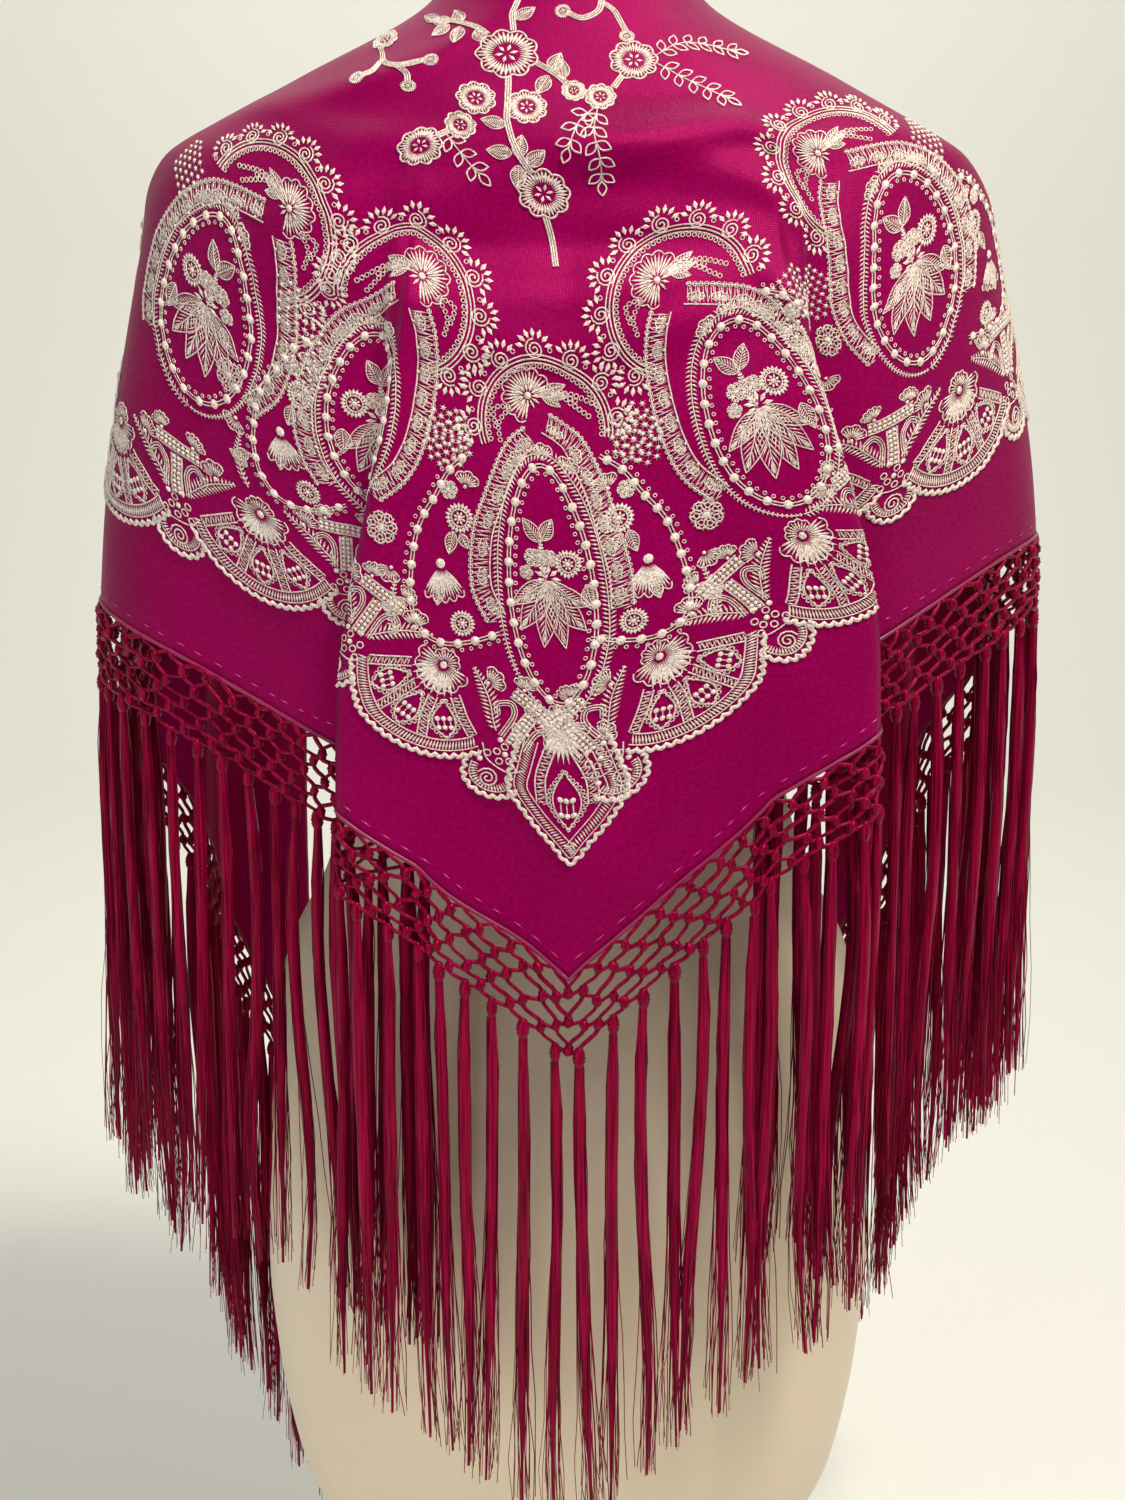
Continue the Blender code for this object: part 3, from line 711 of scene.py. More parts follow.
def make_fringe(hand):
    """One slanting edge's net and tassels as joined tubes."""
    batches = []
    tops = (np.arange(COLUMNS_A_SIDE) + 0.5) * COLUMN_STEP
    between = np.arange(COLUMNS_A_SIDE + 1) * COLUMN_STEP
    own = slice(0 if hand > 0 else 1, None)
    between[-1] -= 0.3 * COLUMN_STEP
    rows = []
    for row, drop in enumerate(NET_DROPS):
        places = tops if row % 2 == 0 else between
        free = (row > 0) * (places > 0.0)
        stray = chance.normal(0.0, 0.0009, len(places)) * free
        centres, out = hem_place(hand * (places + stray),
                                 drop + chance.normal(0.0, 0.0010, len(places)) * free)
        centres = centres + (0.0004 + 0.0012 * chance.random(len(places)))[:, None] * out * free[:, None]
        rows.append((places, centres, out))
    for row in range(1, HEAD_ROW):
        centres = rows[row][1][own] if row % 2 else rows[row][1]
        lean = DOWN + 0.22 * chance.normal(size=centres.shape)
        lean /= np.linalg.norm(lean, axis=1, keepdims=True)
        batches.append(knots(centres, lean, KNOT_HALF, KNOT_RADIUS, 7, 7, 3.0))
    for row in range(HEAD_ROW):
        places, centres, out = rows[row]
        lower_places, lower = rows[row + 1][:2]
        leave = KNOT_HALF * 0.75 if row else 0.0
        arrive = (HEAD_HALF if row == HEAD_ROW - 1 else KNOT_HALF) * 0.75
        for way in (-0.5, 0.5):
            wanted = places + way * COLUMN_STEP
            nearest = np.abs(lower_places[None] - wanted[:, None]).argmin(axis=1)
            near = np.abs(lower_places[nearest] - wanted) < 0.35 * COLUMN_STEP
            start = centres[near] + leave * DOWN
            end = lower[nearest[near]] - arrive * DOWN
            share = np.linspace(0.0, 1.0, CORD_STEPS)
            ease = share * share * (3.0 - 2.0 * share)
            paths = start[:, None] + (end - start)[:, None] * share[None, :, None]
            level = (end - start)[:, None] * (ease - share)[None, :, None] * np.array([0.7, 0.7, 0.0])
            bulge = np.sin(pi * share)[None] * chance.normal(0.0006, 0.0005, len(start))[:, None]
            paths = paths + level + bulge[..., None] * out[near][:, None]
            radii = np.full(paths.shape[:2], CORD_RADIUS) * chance.uniform(0.85, 1.2, (len(start), 1))
            batches.append(sweep_tubes(paths, radii, 5))
    heads = rows[HEAD_ROW][1]
    batches.append(knots(heads, np.tile(DOWN, (len(heads), 1)), HEAD_HALF, HEAD_RADIUS, 9, 13, 5.0))
    number = np.arange(len(heads))
    length = TASSEL_LENGTH + TASSEL_UNEVEN * np.sin(2.4 * number) * np.cos(0.7 * number)
    sway = chance.normal(0.0, 0.0035, (len(heads), 3)) * np.array([1.0, 0.6, 0.0])
    bend = chance.normal(0.0, 0.0014, (len(heads), 3)) * np.array([1.0, 0.6, 0.0])

    def hang(share):
        """The middle line of each tassel at shares of its length."""
        share = share[..., None]
        line = heads[:, None] + (HEAD_HALF * 0.8 + share * (length[:, None, None] - HEAD_HALF)) * DOWN
        return line + share ** 1.6 * sway[:, None] + np.sin(2 * pi * share) * bend[:, None]

    share = np.tile(np.linspace(0.0, 1.0, TASSEL_STEPS), (len(heads), 1))
    body = TASSEL_RADIUS * (0.62 + 0.38 * smooth_step(share, 0.0, 0.12))
    body = body * (1.0 - 0.75 * smooth_step(share, 0.55, 0.96))
    body = body * chance.uniform(0.9, 1.15, (len(heads), 1)) * (1.0 + 0.08 * chance.normal(size=share.shape))
    batches.append(sweep_tubes(hang(share), body, 8))
    for thread in range(THREADS):
        ends = np.clip(1.0 - np.abs(chance.normal(0.0, 0.035, len(heads))), 0.82, 1.0)
        ends = ends + 0.008 * chance.random(len(heads))
        share = np.linspace(0.0, 1.0, THREAD_STEPS)[None] * ends[:, None]
        turn = 2 * pi * thread / THREADS + chance.uniform(0.0, 0.6, (len(heads), 1))
        turn = turn + chance.normal(0.0, 1.2, (len(heads), 1)) * share
        loose = chance.random((len(heads), 1)) ** 3
        reach = TASSEL_RADIUS * (0.55 + 0.40 * smooth_step(share, 0.0, 0.10)
                                 + (0.25 + 2.2 * loose) * smooth_step(share, 0.35, 1.0))
        kink = chance.normal(0.0, 0.00035, share.shape) * (1.0 + 3.0 * smooth_step(share, 0.6, 1.0))
        offset = np.stack([(reach + kink) * np.cos(turn), 0.8 * (reach + kink) * np.sin(turn), 0.0 * share],
                          axis=-1)
        radii = THREAD_RADIUS * chance.uniform(0.7, 1.25, (len(heads), 1)) * (1.0 - 0.45 * share)
        batches.append(sweep_tubes(hang(share) + offset, radii, 3))
    return join(batches)


for name, hand in (("fringe_right", 1.0), ("fringe_left", -1.0)):
    batch = make_fringe(hand)
    fringe = mesh_object("silk_" + name, batch.points, [batch.faces], fringe_silk)
    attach(fringe, ROOT)
    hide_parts(name)
    print(name, "triangles", triangles(fringe))

# %% [markdown]
# Embroidery stitches
#
# The pattern is worked by machine in thick cream thread. It is drawn here in millimetres on the flat
# cut, seen from its face, and then laid on the hanging cloth, as real embroidery goes with the cloth
# it was sewn on. Everything comes from a few raised stitches: a couched cord, a satin stitch that is
# thickest in its middle, a padded dot and a small chain loop.

# %% Raised stitches
EDGE_LIFT = 0.05
CORD_WIDTH = 0.75
CORD_HEIGHT = 0.60


def moved(work, x=0, y=0, turn=0, size=1, mirror=False):
    """A copy of some work, mirrored, scaled, turned in degrees and moved."""
    flat = work.points[:, :2] * size
    faces = work.faces
    if mirror:
        flat = flat * (-1, 1)
        faces = faces[:, ::-1]
    c, s = cos(radians(turn)), sin(radians(turn))
    flat = flat @ np.array([[c, s], [-s, c]]) + (x, y)
    return Work(np.column_stack([flat, work.points[:, 2]]), faces)


def rays(turns):
    """Unit directions at turns in radians, anticlockwise from the right."""
    return np.column_stack([np.cos(turns), np.sin(turns)])


def mirrored(side):
    """A closed outline from its right side."""
    return np.concatenate([side, (side * (-1, 1))[::-1]])


def ways_of(path):
    """Unit directions along a path, and the directions to its left."""
    way = np.gradient(np.asarray(path, dtype=float), axis=0)
    way /= np.linalg.norm(way, axis=1, keepdims=True) + 1e-9
    return way, np.column_stack([-way[:, 1], way[:, 0]])


def cord(path, width=CORD_WIDTH, height=CORD_HEIGHT):
    """A couched cord along a path."""
    path = np.asarray(path, dtype=float)
    left = ways_of(path)[1] * 0.5 * width
    count = len(path)
    low = np.full(count, EDGE_LIFT)
    points = np.concatenate([np.column_stack([path + left, low]),
                             np.column_stack([path, np.full(count, height)]),
                             np.column_stack([path - left, low])])
    i = np.arange(count - 1)
    faces = np.concatenate([np.stack([i, i + count, i + count + 1], axis=1),
                            np.stack([i, i + count + 1, i + 1], axis=1),
                            np.stack([i + count, i + 2 * count, i + 2 * count + 1], axis=1),
                            np.stack([i + count, i + 2 * count + 1, i + count + 1], axis=1)])
    return Work(points, faces)


def satin(starts, ends, width=0.8, height=0.6):
    """Satin stitches: thin at both ends and thickest in the middle."""
    starts = np.asarray(starts, dtype=float).reshape(-1, 2)
    ends = np.asarray(ends, dtype=float).reshape(-1, 2)
    way = ends - starts
    way /= np.linalg.norm(way, axis=1, keepdims=True) + 1e-9
    left = np.column_stack([-way[:, 1], way[:, 0]]) * 0.5 * width
    middle = 0.5 * (starts + ends)
    low = np.full(len(starts), EDGE_LIFT)
    points = np.stack([np.column_stack([starts, low]), np.column_stack([ends, low]),
                       np.column_stack([middle + left, low]), np.column_stack([middle - left, low]),
                       np.column_stack([middle, np.full(len(starts), height)])], axis=1).reshape(-1, 3)
    first = 5 * np.arange(len(starts))[:, None, None]
    faces = (first + np.array([[0, 4, 2], [4, 1, 2], [0, 3, 4], [3, 1, 4]])[None]).reshape(-1, 3)
    return Work(points, faces)


def dots(centres, radius=1.5, height=1, sides=8):
    """Padded satin dots."""
    centres = np.asarray(centres, dtype=float).reshape(-1, 2)
    rim = rays(np.linspace(0, 2 * pi, sides, endpoint=False)) * radius
    outer = np.concatenate([centres[:, None] + rim, np.full((len(centres), sides, 1), EDGE_LIFT)], axis=2)
    inner = np.concatenate([centres[:, None] + 0.68 * rim, np.full((len(centres), sides, 1), 0.78 * height)],
                           axis=2)
    top = np.concatenate([centres[:, None], np.full((len(centres), 1, 1), height)], axis=2)
    points = np.concatenate([outer, inner, top], axis=1).reshape(-1, 3)
    i = np.arange(sides)
    j = (i + 1) % sides
    one = np.concatenate([np.stack([i, j, j + sides], axis=1), np.stack([i, j + sides, i + sides], axis=1),
                          np.stack([i + sides, j + sides, np.full(sides, 2 * sides)], axis=1)])
    faces = ((2 * sides + 1) * np.arange(len(centres))[:, None, None] + one[None]).reshape(-1, 3)
    return Work(points, faces)


def arc(radius, start, end, count=24, x=0, y=0):
    """Points of an arc; the angles are in degrees from the right, anticlockwise."""
    return (x, y) + radius * rays(np.radians(np.linspace(start, end, count)))


def loops(centres, radius=1.15, width=0.5, height=0.45):
    """Small chain loops."""
    circle = cord(arc(radius, 0, 360, 9), width, height)
    return join([moved(circle, x, y) for x, y in np.asarray(centres, dtype=float).reshape(-1, 2)])


def smooth_path(corners, steps=10):
    """A smooth path through a few points."""
    corners = np.asarray(corners, dtype=float)
    padded = np.concatenate([[2 * corners[0] - corners[1]], corners, [2 * corners[-1] - corners[-2]]])
    t = np.linspace(0, 1, steps, endpoint=False)[:, None]
    pieces = []
    for a, b, c, d in zip(padded, padded[1:], padded[2:], padded[3:]):
        pieces.append(0.5 * (2 * b + (c - a) * t + (2 * a - 5 * b + 4 * c - d) * t ** 2
                             + (3 * b - a - 3 * c + d) * t ** 3))
    return np.concatenate(pieces + [corners[-1:]])


def walk(path, pitch):
    """Evenly spaced places along a path: points, directions and directions to the left."""
    path = np.asarray(path, dtype=float)
    lengths = distances_along(path)
    count = max(int(round(lengths[-1] / pitch)), 1)
    places = (np.arange(count) + 0.5) * lengths[-1] / count
    way, left = ways_of(path)

    def read(values):
        return np.column_stack([np.interp(places, lengths, values[:, axis]) for axis in range(2)])

    return read(path), read(way), read(left)


def beside(path, distance):
    """The path moved to its left."""
    return np.asarray(path) + distance * ways_of(path)[1]


# %% [markdown]
# Small motifs
#
# The maker repeats a small stock of shapes: curls, half daisies, buttonhole rosettes, veined leaves
# and fans. Each is made once here, around its own root or centre, and then placed many times.

# %% Small motifs
def curl(radius=5.2, turns=2.2):
    """A spiral of cord."""
    share = np.linspace(0, 1, 26)
    turn = 2 * pi * turns * share
    reach = radius * (1 - 0.88 * share)
    return cord(reach[:, None] * rays(turn), 0.8, 0.6)


def petals(count, inner, outer, start, end, width, height=0.9):
    """Fat padded petals between two radii, spread over an arc."""
    way = rays(np.radians(np.linspace(start, end, count)))
    return satin(inner * way, outer * way, width, height)


def rosette(radius=7.5):
    """A buttonhole rosette with a knotted heart."""
    works = [petals(20, 0.56 * radius, radius, 0, 342, 0.26 * radius, 0.9)]
    works.append(cord(arc(0.56 * radius, 0, 360, 18), 0.7, 0.7))
    works.append(petals(8, 0.12 * radius, 0.46 * radius, 20, 335, 0.16 * radius, 0.6))
    works.append(dots([(0, 0)], 0.17 * radius, 0.9))
    return join(works)


def open_flower(radius=11):
    """A round flower: long radial stitches round an open heart, inside a scalloped rim."""
    turns = np.linspace(0, 2 * pi, 73)
    reach = radius * (0.86 + 0.14 * np.abs(np.sin(4.5 * turns)))
    way = rays(turns)
    rim = reach[:, None] * way
    heart = 0.42 * radius
    return join([cord(rim, 1, 0.8), satin(heart * way[1::2], 0.97 * rim[1::2], 0.09 * radius + 0.4, 1.2),
                 petals(6, 0.10 * radius, 0.92 * heart, 10, 310, 0.13 * radius, 0.9)])


def leaf(length=14, width=7, veins=6):
    """A veined leaf that grows up from its root."""
    share = np.linspace(0, 1, 13)
    half = 0.5 * width * np.sin(pi * share ** 0.85) ** 0.9
    outline = mirrored(np.column_stack([half, length * share]))
    root = np.linspace(0.08, 0.80, veins)
    tip = np.clip(root + 0.20, 0, 0.96)
    reach = 0.5 * width * np.sin(pi * tip ** 0.85) ** 0.9 * 0.92
    zero = np.zeros(veins)
    starts = np.column_stack([zero, root * length])
    spine = [(0, 0), (0, 0.5 * length), (0, 0.92 * length)]
    works = [cord(outline, 0.6, 0.5), cord(spine, 0.6, 0.6)]
    works.append(satin(starts, np.column_stack([reach, tip * length]), 0.7, 0.5))
    works.append(satin(starts, np.column_stack([-reach, tip * length]), 0.7, 0.5))
    return join(works)


def fan(radius=15, spread=150, stitches=17, lobes=5):
    """A fan of long stitches with a scalloped rim, opening upwards from its root."""
    way = rays(np.radians(90 + np.linspace(-0.5, 0.5, stitches) * spread))
    reach = radius * (0.84 + 0.12 * np.abs(np.sin(np.linspace(0, lobes * pi, stitches))))
    rim_way = rays(np.radians(90 + np.linspace(-0.5, 0.5, 6 * lobes + 1) * spread))
    rim_reach = radius * (0.88 + 0.13 * np.abs(np.sin(np.linspace(0, lobes * pi, 6 * lobes + 1))))
    rim_path = rim_reach[:, None] * rim_way
    works = [satin(0.20 * radius * way, reach[:, None] * way, 0.055 * radius + 0.35, 0.65),
             cord(rim_path, 0.7, 0.6)]
    works.append(satin(0.55 * radius * way[::2], reach[::2, None] * way[::2], 1, 0.8))
    works.append(dots([(0, 0)], 0.13 * radius, 1))
    return join(works)


def blossom(radius=7, count=6):
    """A small round flower of ring petals."""
    centres = arc(0.56 * radius, 0, 360 - 360 / count, count)
    works = [loops(centres, 0.36 * radius, 0.7, 0.6), loops(centres, 0.16 * radius, 0.6, 0.5)]
    works.append(petals(3 * count, 0.60 * radius, radius, 0, 340, 0.8, 0.6))
    works.append(dots([(0, 0)], 0.20 * radius, 0.9))
    return join(works)


def feather(path, length=4.5, pitch=2, lean=40, width=1.1):
    """A sprig: a stem with a leaflet on each side at every step."""
    places, way, left = walk(path, pitch)
    c, s = cos(radians(lean)), sin(radians(lean))
    size = length * np.sin(np.linspace(0.25 * pi, 0.92 * pi, len(places)))[:, None]
    return join([cord(path, 0.6, 0.5), satin(places, places + size * (c * way + s * left), width, 0.6),
                 satin(places, places + size * (c * way - s * left), width, 0.6)])


def loop_sprig(path, pitch=7, length=6):
    """A stem with pairs of open loop leaves."""
    share = np.linspace(0, 1, 9)
    half = 0.27 * length * np.sin(pi * share)
    outline = np.concatenate([np.column_stack([length * share, half]),
                              np.column_stack([length * share, -half])[::-1]])
    works = [cord(path, 0.6, 0.5)]
    for place, way in zip(*walk(path, pitch)[:2]):
        heading = np.degrees(atan2(way[1], way[0]))
        works += [moved(cord(outline, 0.8, 0.7), *place, heading + side) for side in (52, -52)]
    end, before = path[-1], path[-2]
    works.append(moved(cord(outline, 0.8, 0.7), *end,
                       np.degrees(atan2(end[1] - before[1], end[0] - before[0]))))
    return join(works)


def ribbon(path, width=10.5, pitch=2.1):
    """A band between two cords with slanting bars, and short stitches from each side."""
    places, way, left = walk(path, pitch)
    half = 0.46 * width
    flip = np.where(np.arange(len(places)) % 2 == 0, 1, -1)[:, None]
    works = [cord(beside(path, 0.5 * width)), cord(beside(path, -0.5 * width))]
    works.append(satin(places + half * left, places - half * left + 1.3 * way, 0.70, 0.55))
    rims = places + half * flip * left + 0.5 * pitch * way
    works.append(satin(rims, places + 1.1 * pitch * way, 0.6, 0.65))
    return join(works)


def bead_chain(path, pitch=10.5, radius=2.4):
    """A double line strung with large padded dots."""
    places = walk(path, pitch)[0]
    return join([cord(beside(path, 0.8), 0.6, 0.5), cord(beside(path, -0.8), 0.6, 0.5),
                 dots(places, radius, 1.5, 10)])


def dotted_band(path, width=7):
    """A band of two rows of dots between triple lines."""
    places, way, left = walk(path, 3)
    works = [dots(places + 0.19 * width * left, 1.25, 0.9), dots(places - 0.19 * width * left, 1.25, 0.9)]
    for side in (-0.5, -0.41, 0.41, 0.5):
        works.append(cord(beside(path, side * width), 0.55, 0.45))
    bars = places + 1.5 * way
    works.append(satin(bars - 0.3 * width * left, bars + 0.3 * width * left, 0.5, 0.45))
    return join(works)


def lattice(rows=9, pitch=5.4):
    """A diamond trellis of dots joined by short stitches."""
    centres = []
    for row in range(rows):
        level = row - 0.5 * (rows - 1)
        columns = 6 - round(0.7 * abs(level))
        columns -= (columns + row) % 2
        for column in range(columns):
            centres.append(((column - 0.5 * (columns - 1)) * pitch, level * 0.66 * pitch))
    centres = np.array(centres)
    step = np.array([0.5 * pitch, 0.66 * pitch])
    works = [dots(centres, 1.05, 0.9), satin(centres - (2, 0), centres + (2, 0), 0.9, 0.8)]
    for way in (step, step * (-1, 1)):
        works.append(satin(centres - 0.5 * way, centres + 0.5 * way, 0.55, 0.4))
    return join(works)


def garland(path):
    """The arch's crest: three lines, curls with half daisies outside them, and loops inside."""
    works = [cord(beside(path, side)) for side in (-2, 0, 2)]
    places, way, left = walk(path, 16.5)
    one = join([curl(), petals(7, 5.6, 10.6, -76, 76, 2.5, 1.1)])
    for place, side in zip(places + 4.6 * left, left):
        works.append(moved(one, *place, np.degrees(atan2(side[1], side[0]))))
    works.append(loops(walk(beside(path, -3.6), 3.1)[0], 1.1))
    works.append(loops(places + 4.4 * left + 8.2 * way, 1.1))
    return join(works)


# %% [markdown]
# Large motifs
#
# Each arch has a crest of curls, a fan flower, two ribbons, and a beaded oval with a bouquet in it.
# Between the arches hang beaded fields, and a row of shell lobes with a corded, scalloped edge
# finishes the border. Their places are measured from the root of each motif.

# %% Large motifs
FanLeaf = namedtuple("FanLeaf", "turn length width")
FAN_LEAVES = [FanLeaf(172, 37, 13), FanLeaf(192, 36, 12), FanLeaf(148, 34, 13),
              FanLeaf(214, 33, 12), FanLeaf(124, 27, 10), FanLeaf(237, 26, 10)]


def bouquet(size=1):
    """The spray in an oval: leaves above, rosettes in the middle, a big veined fan leaf below."""
    works = [moved(leaf(15, 8, 8), -4, 22, 38), moved(leaf(14, 8, 8), -3, 23, -30)]
    works.append(feather(smooth_path([(-2, 2), (-4, 12), (-3.5, 23)]), 3.8, 2, 45, 1.3))
    works += [moved(rosette(8), 11.5, 12), moved(blossom(5.4), -9, 13), moved(blossom(4.8), 1, 14)]
    works += [moved(blossom(4.2, 5), -13.5, 4.5), moved(petals(9, 2, 8, 0, 320, 2.4), -1, 3)]
    for turn, length, width in FAN_LEAVES:
        works.append(moved(leaf(length, width, 10), -1, 1, turn))
    works += [moved(leaf(14, 8.5, 8), 20, -2, 190), moved(leaf(10, 6, 6), -12, -3, 165)]
    return moved(join(works), size=size)


def egg(half_height, low_width, high_width):
    """The closed outline of a beaded oval that stands on its root."""
    turns = np.linspace(-0.5 * pi, 1.5 * pi, 65)
    half = 0.5 * (low_width + high_width) - 0.5 * (low_width - high_width) * np.sin(turns)
    return np.column_stack([half * np.cos(turns), half_height * (1 + np.sin(turns))])


ArchPlan = namedtuple("ArchPlan", "oval oval_x crest fan_place right_band left_band trellises flower_size")
FLANK_ARCH = ArchPlan(
    oval=(50, 31.5, 25), oval_x=2, crest=(38, 232, 0, -19.7, 118.7), fan_place=(-28.8, 134),
    right_band=[(-17, 122), (2.5, 114), (17, 105), (31, 86), (42, 60), (43, 34), (38, 17)],
    left_band=[(-31, 118), (-37, 106), (-42, 86), (-45, 57), (-42, 35), (-32, 18)],
    trellises=[(40, 103, -24), (-61, 62, 12)], flower_size=1)
CENTRE_ARCH = ArchPlan(
    oval=(59.5, 23.5, 20.5), oval_x=0, crest=(34, 196, -12, 3.5, 138), fan_place=(-4, 153),
    right_band=[(4, 140), (12, 136), (19, 129), (27, 108), (31, 88), (35, 62), (34, 44)],
    left_band=[(-4, 133), (-15, 124), (-28, 99), (-35, 81), (-37, 57), (-30, 40)],
    trellises=[(50, 131, -14), (-50, 131, 14)], flower_size=0.92)


def arch(plan):
    """One arch of the border, with its root at the lowest point of its oval."""
    radius, start, end, x, y = plan.crest
    half_height = plan.oval[0]
    works = [garland(arc(radius, start, end, 60, x, y))]
    works.append(moved(fan(14.5, 260, 27, 9), *plan.fan_place, 40))
    works.append(moved(petals(11, 2, 7, 0, 330, 1.4, 1), *plan.fan_place))
    fx, fy = plan.fan_place
    for turn, length in ((-95, 14), (-70, 15), (-120, 12)):
        works.append(moved(leaf(length, 5.2, 7), fx + 7, fy + 2, turn))
    for reach, drop in ((-17, -20), (-19, -13)):
        works.append(loops(walk(smooth_path([(fx - 10, fy - 6), (fx + reach, fy + drop + 6),
                                             (fx + reach, fy + drop - 4)]), 2.9)[0], 1.1))
    for reach, drop in ((38, -6), (33, -11), (27, -2)):
        works.append(loops(walk(smooth_path([(fx + 14, fy), (fx + 0.6 * reach, fy + 5 + 0.4 * drop),
                                             (fx + reach, fy + drop)]), 2.9)[0], 1.2))
    right_band = smooth_path(plan.right_band)
    left_band = smooth_path(plan.left_band)
    works += [ribbon(right_band), ribbon(left_band)]
    for band, hand in ((right_band, -1), (left_band, 1)):
        for place, way, left in zip(*walk(beside(band, hand * 5.6), 13)):
            heading = np.degrees(atan2(way[1], way[0]))
            works.append(moved(fan(6, 120, 9, 3), *(place - hand * left), heading + 90 + hand * 90))
        works.append(loops(walk(beside(band, -hand * 5.2), 3.2)[0], 1.15))
    oval = egg(*plan.oval) + (plan.oval_x, 0)
    works.append(bead_chain(oval))
    works.append(loops(walk(beside(oval, 3.4), 4.6)[0], 0.9))
    works.append(feather(beside(oval, -6), 4.2, 2.3, 62, 0.9))
    works.append(moved(bouquet(plan.flower_size), plan.oval_x, 1.02 * half_height))
    for x, y, turn in plan.trellises:
        works.append(moved(lattice(), x, y, turn))
    for x, turn in ((-11, 34), (1, 4), (13, -34)):
        top = 2 * half_height + 4 - abs(x) * 0.45
        works.append(moved(fan(7.5, 130, 11, 3), plan.oval_x + x, top, turn))
    return join(works)


FIELD_CHAIN = [(20, 97), (9, 88), (0, 74), (-10, 58), (-15, 38),
               (-16, 18), (-10, 4), (2, -1), (17, 1), (32, 6)]


def beaded_field():
    """The field between two arches: an open bead chain round rosettes, a leaf and a bell flower."""
    chain = smooth_path(FIELD_CHAIN)
    works = [bead_chain(chain, 9.5), loops(walk(beside(chain, -3.4), 5)[0], 0.9)]
    works += [moved(rosette(8), 13, 64), moved(leaf(12, 6.5, 7), 9, 57, 165)]
    works += [moved(leaf(8, 5, 5), 13, 56, 205), moved(fan(20, 76, 15, 5), 1, 40, 186)]
    works += [moved(leaf(12, 6, 7), 0, 30, 172), moved(rosette(7), 12, 10)]
    works += [moved(fan(8, 130, 11, 3), 17, 80, -20), moved(blossom(5), 8, 78)]
    works += [moved(blossom(9, 7), -30, 56), moved(fan(8, 140, 11, 3), -26, 36, 150)]
    works += [moved(leaf(12, 6, 7), -20, 20, 120), moved(leaf(11, 6, 7), -22, 12, 60)]
    works.append(feather(smooth_path([(-24, 0), (-27, 14), (-24, 30)]), 4, 2.4, 50, 1.1))
    return join(works)


def window_outline(width, narrow, widening, drop, length):
    """A drop-shaped window that hangs point upwards under a lobe's root."""
    share = np.linspace(0, 1, 33)
    half = width * np.sin(pi * share) * (narrow + widening * share)
    return mirrored(np.column_stack([half, -drop - length * share]))


def shell_lobe(radius=47, half_spread=56):
    """A shell of the border: a fan at its root, three windows of beads, a rayed band and a corded edge."""
    works = [moved(fan(15, 200, 21, 7), 0, 0, 180), moved(fan(8, 160, 11, 5), 0, 1, 0)]
    works.append(petals(9, 4, 17, -90 - 0.9 * half_spread, -90 + 0.9 * half_spread, 2.6, 1))
    window_turn = 0.66 * half_spread
    for turn in (-window_turn, 0, window_turn):
        window = window_outline(0.125 * radius, 0.55, 0.75, 0.38 * radius, 0.44 * radius)
        works.append(moved(cord(window, 0.7, 0.6), turn=turn))
        works.append(moved(loops(walk(window, 2.6)[0] * (1.28, 1), 1.05), turn=turn))
        beads = [(x * radius, y * radius) for y in (-0.60, -0.70) for x in (-0.065, 0, 0.065)]
        works.append(moved(dots(beads, 1.35, 1), turn=turn))
        works.append(moved(satin(beads[:3], beads[3:], 0.6, 0.5), turn=turn))
    for turn in np.array([-1, -0.33, 0.33, 1]) * half_spread:
        spoke = np.column_stack([np.zeros(20), np.linspace(-0.36, -0.83, 20) * radius])
        works.append(moved(ribbon(spoke, 4.6, 1.7), turn=turn))
    way = rays(np.radians(np.linspace(-90 - half_spread, -90 + half_spread, 54)))
    slant = np.column_stack([-way[:, 1], way[:, 0]]) * 2.2
    works.append(satin(0.845 * radius * way, 0.965 * radius * way + slant, 1, 0.8))
    works.append(cord(arc(0.84 * radius, -90 - half_spread, -90 + half_spread, 40), 0.7, 0.6))
    works.append(scalloped(arc(radius, -90 - half_spread, -90 + half_spread, 60)))
    for hand in (-1, 1):
        crown = smooth_path([(hand * 0.86 * radius, -0.26 * radius), (hand * 0.6 * radius, 0),
                             (hand * 13, 9)])
        works.append(feather(crown, 5.5, 2.3, 58, 1))
        works.append(moved(fan(9, 120, 11, 3), hand * 0.5 * radius, 6, -hand * 25))
    return join(works)


TIP_SIDE = [(20, -8), (25, -24), (27, -38), (19, -52), (8, -63)]
TIP_EDGE = [(-x, y) for x, y in TIP_SIDE] + [(0, -70)] + TIP_SIDE[::-1]


def tip_lobe():
    """The long pointed lobe at the tip: a bell of long stitches, a beaded window and a corded edge."""
    edge = smooth_path(TIP_EDGE)
    works = [scalloped(edge), moved(fan(15, 150, 21, 5), 0, 4, 180), moved(fan(9, 150, 13, 5), 0, 2)]
    places, way, left = walk(beside(edge, 2.6), 1.5)
    works.append(satin(places, places + 4.6 * left + 1.6 * way, 0.8, 0.7))
    works += [cord(beside(edge, 8.2), 0.6, 0.5), petals(9, 3, 19, 235, 305, 2.3, 1.1)]
    window = window_outline(7, 0.6, 0.7, 22, 31)
    works += [cord(window, 0.7, 0.6), loops(walk(window, 2.6)[0] * (1.3, 1), 1)]
    beads = [(x, y) for y in (-38, -46) for x in (-3, 0, 3)]
    works.append(dots(beads, 1.5, 1.1))
    works.append(satin(beads[:3], beads[3:], 0.7, 0.5))
    for hand in (-1, 1):
        works.append(ribbon(smooth_path([(hand * 7, -14), (hand * 12, -28), (hand * 12.5, -42)]),
                            5, 1.9))
        works.append(moved(fan(8, 130, 11, 3), hand * 17, -8, -hand * 60))
    return join(works)


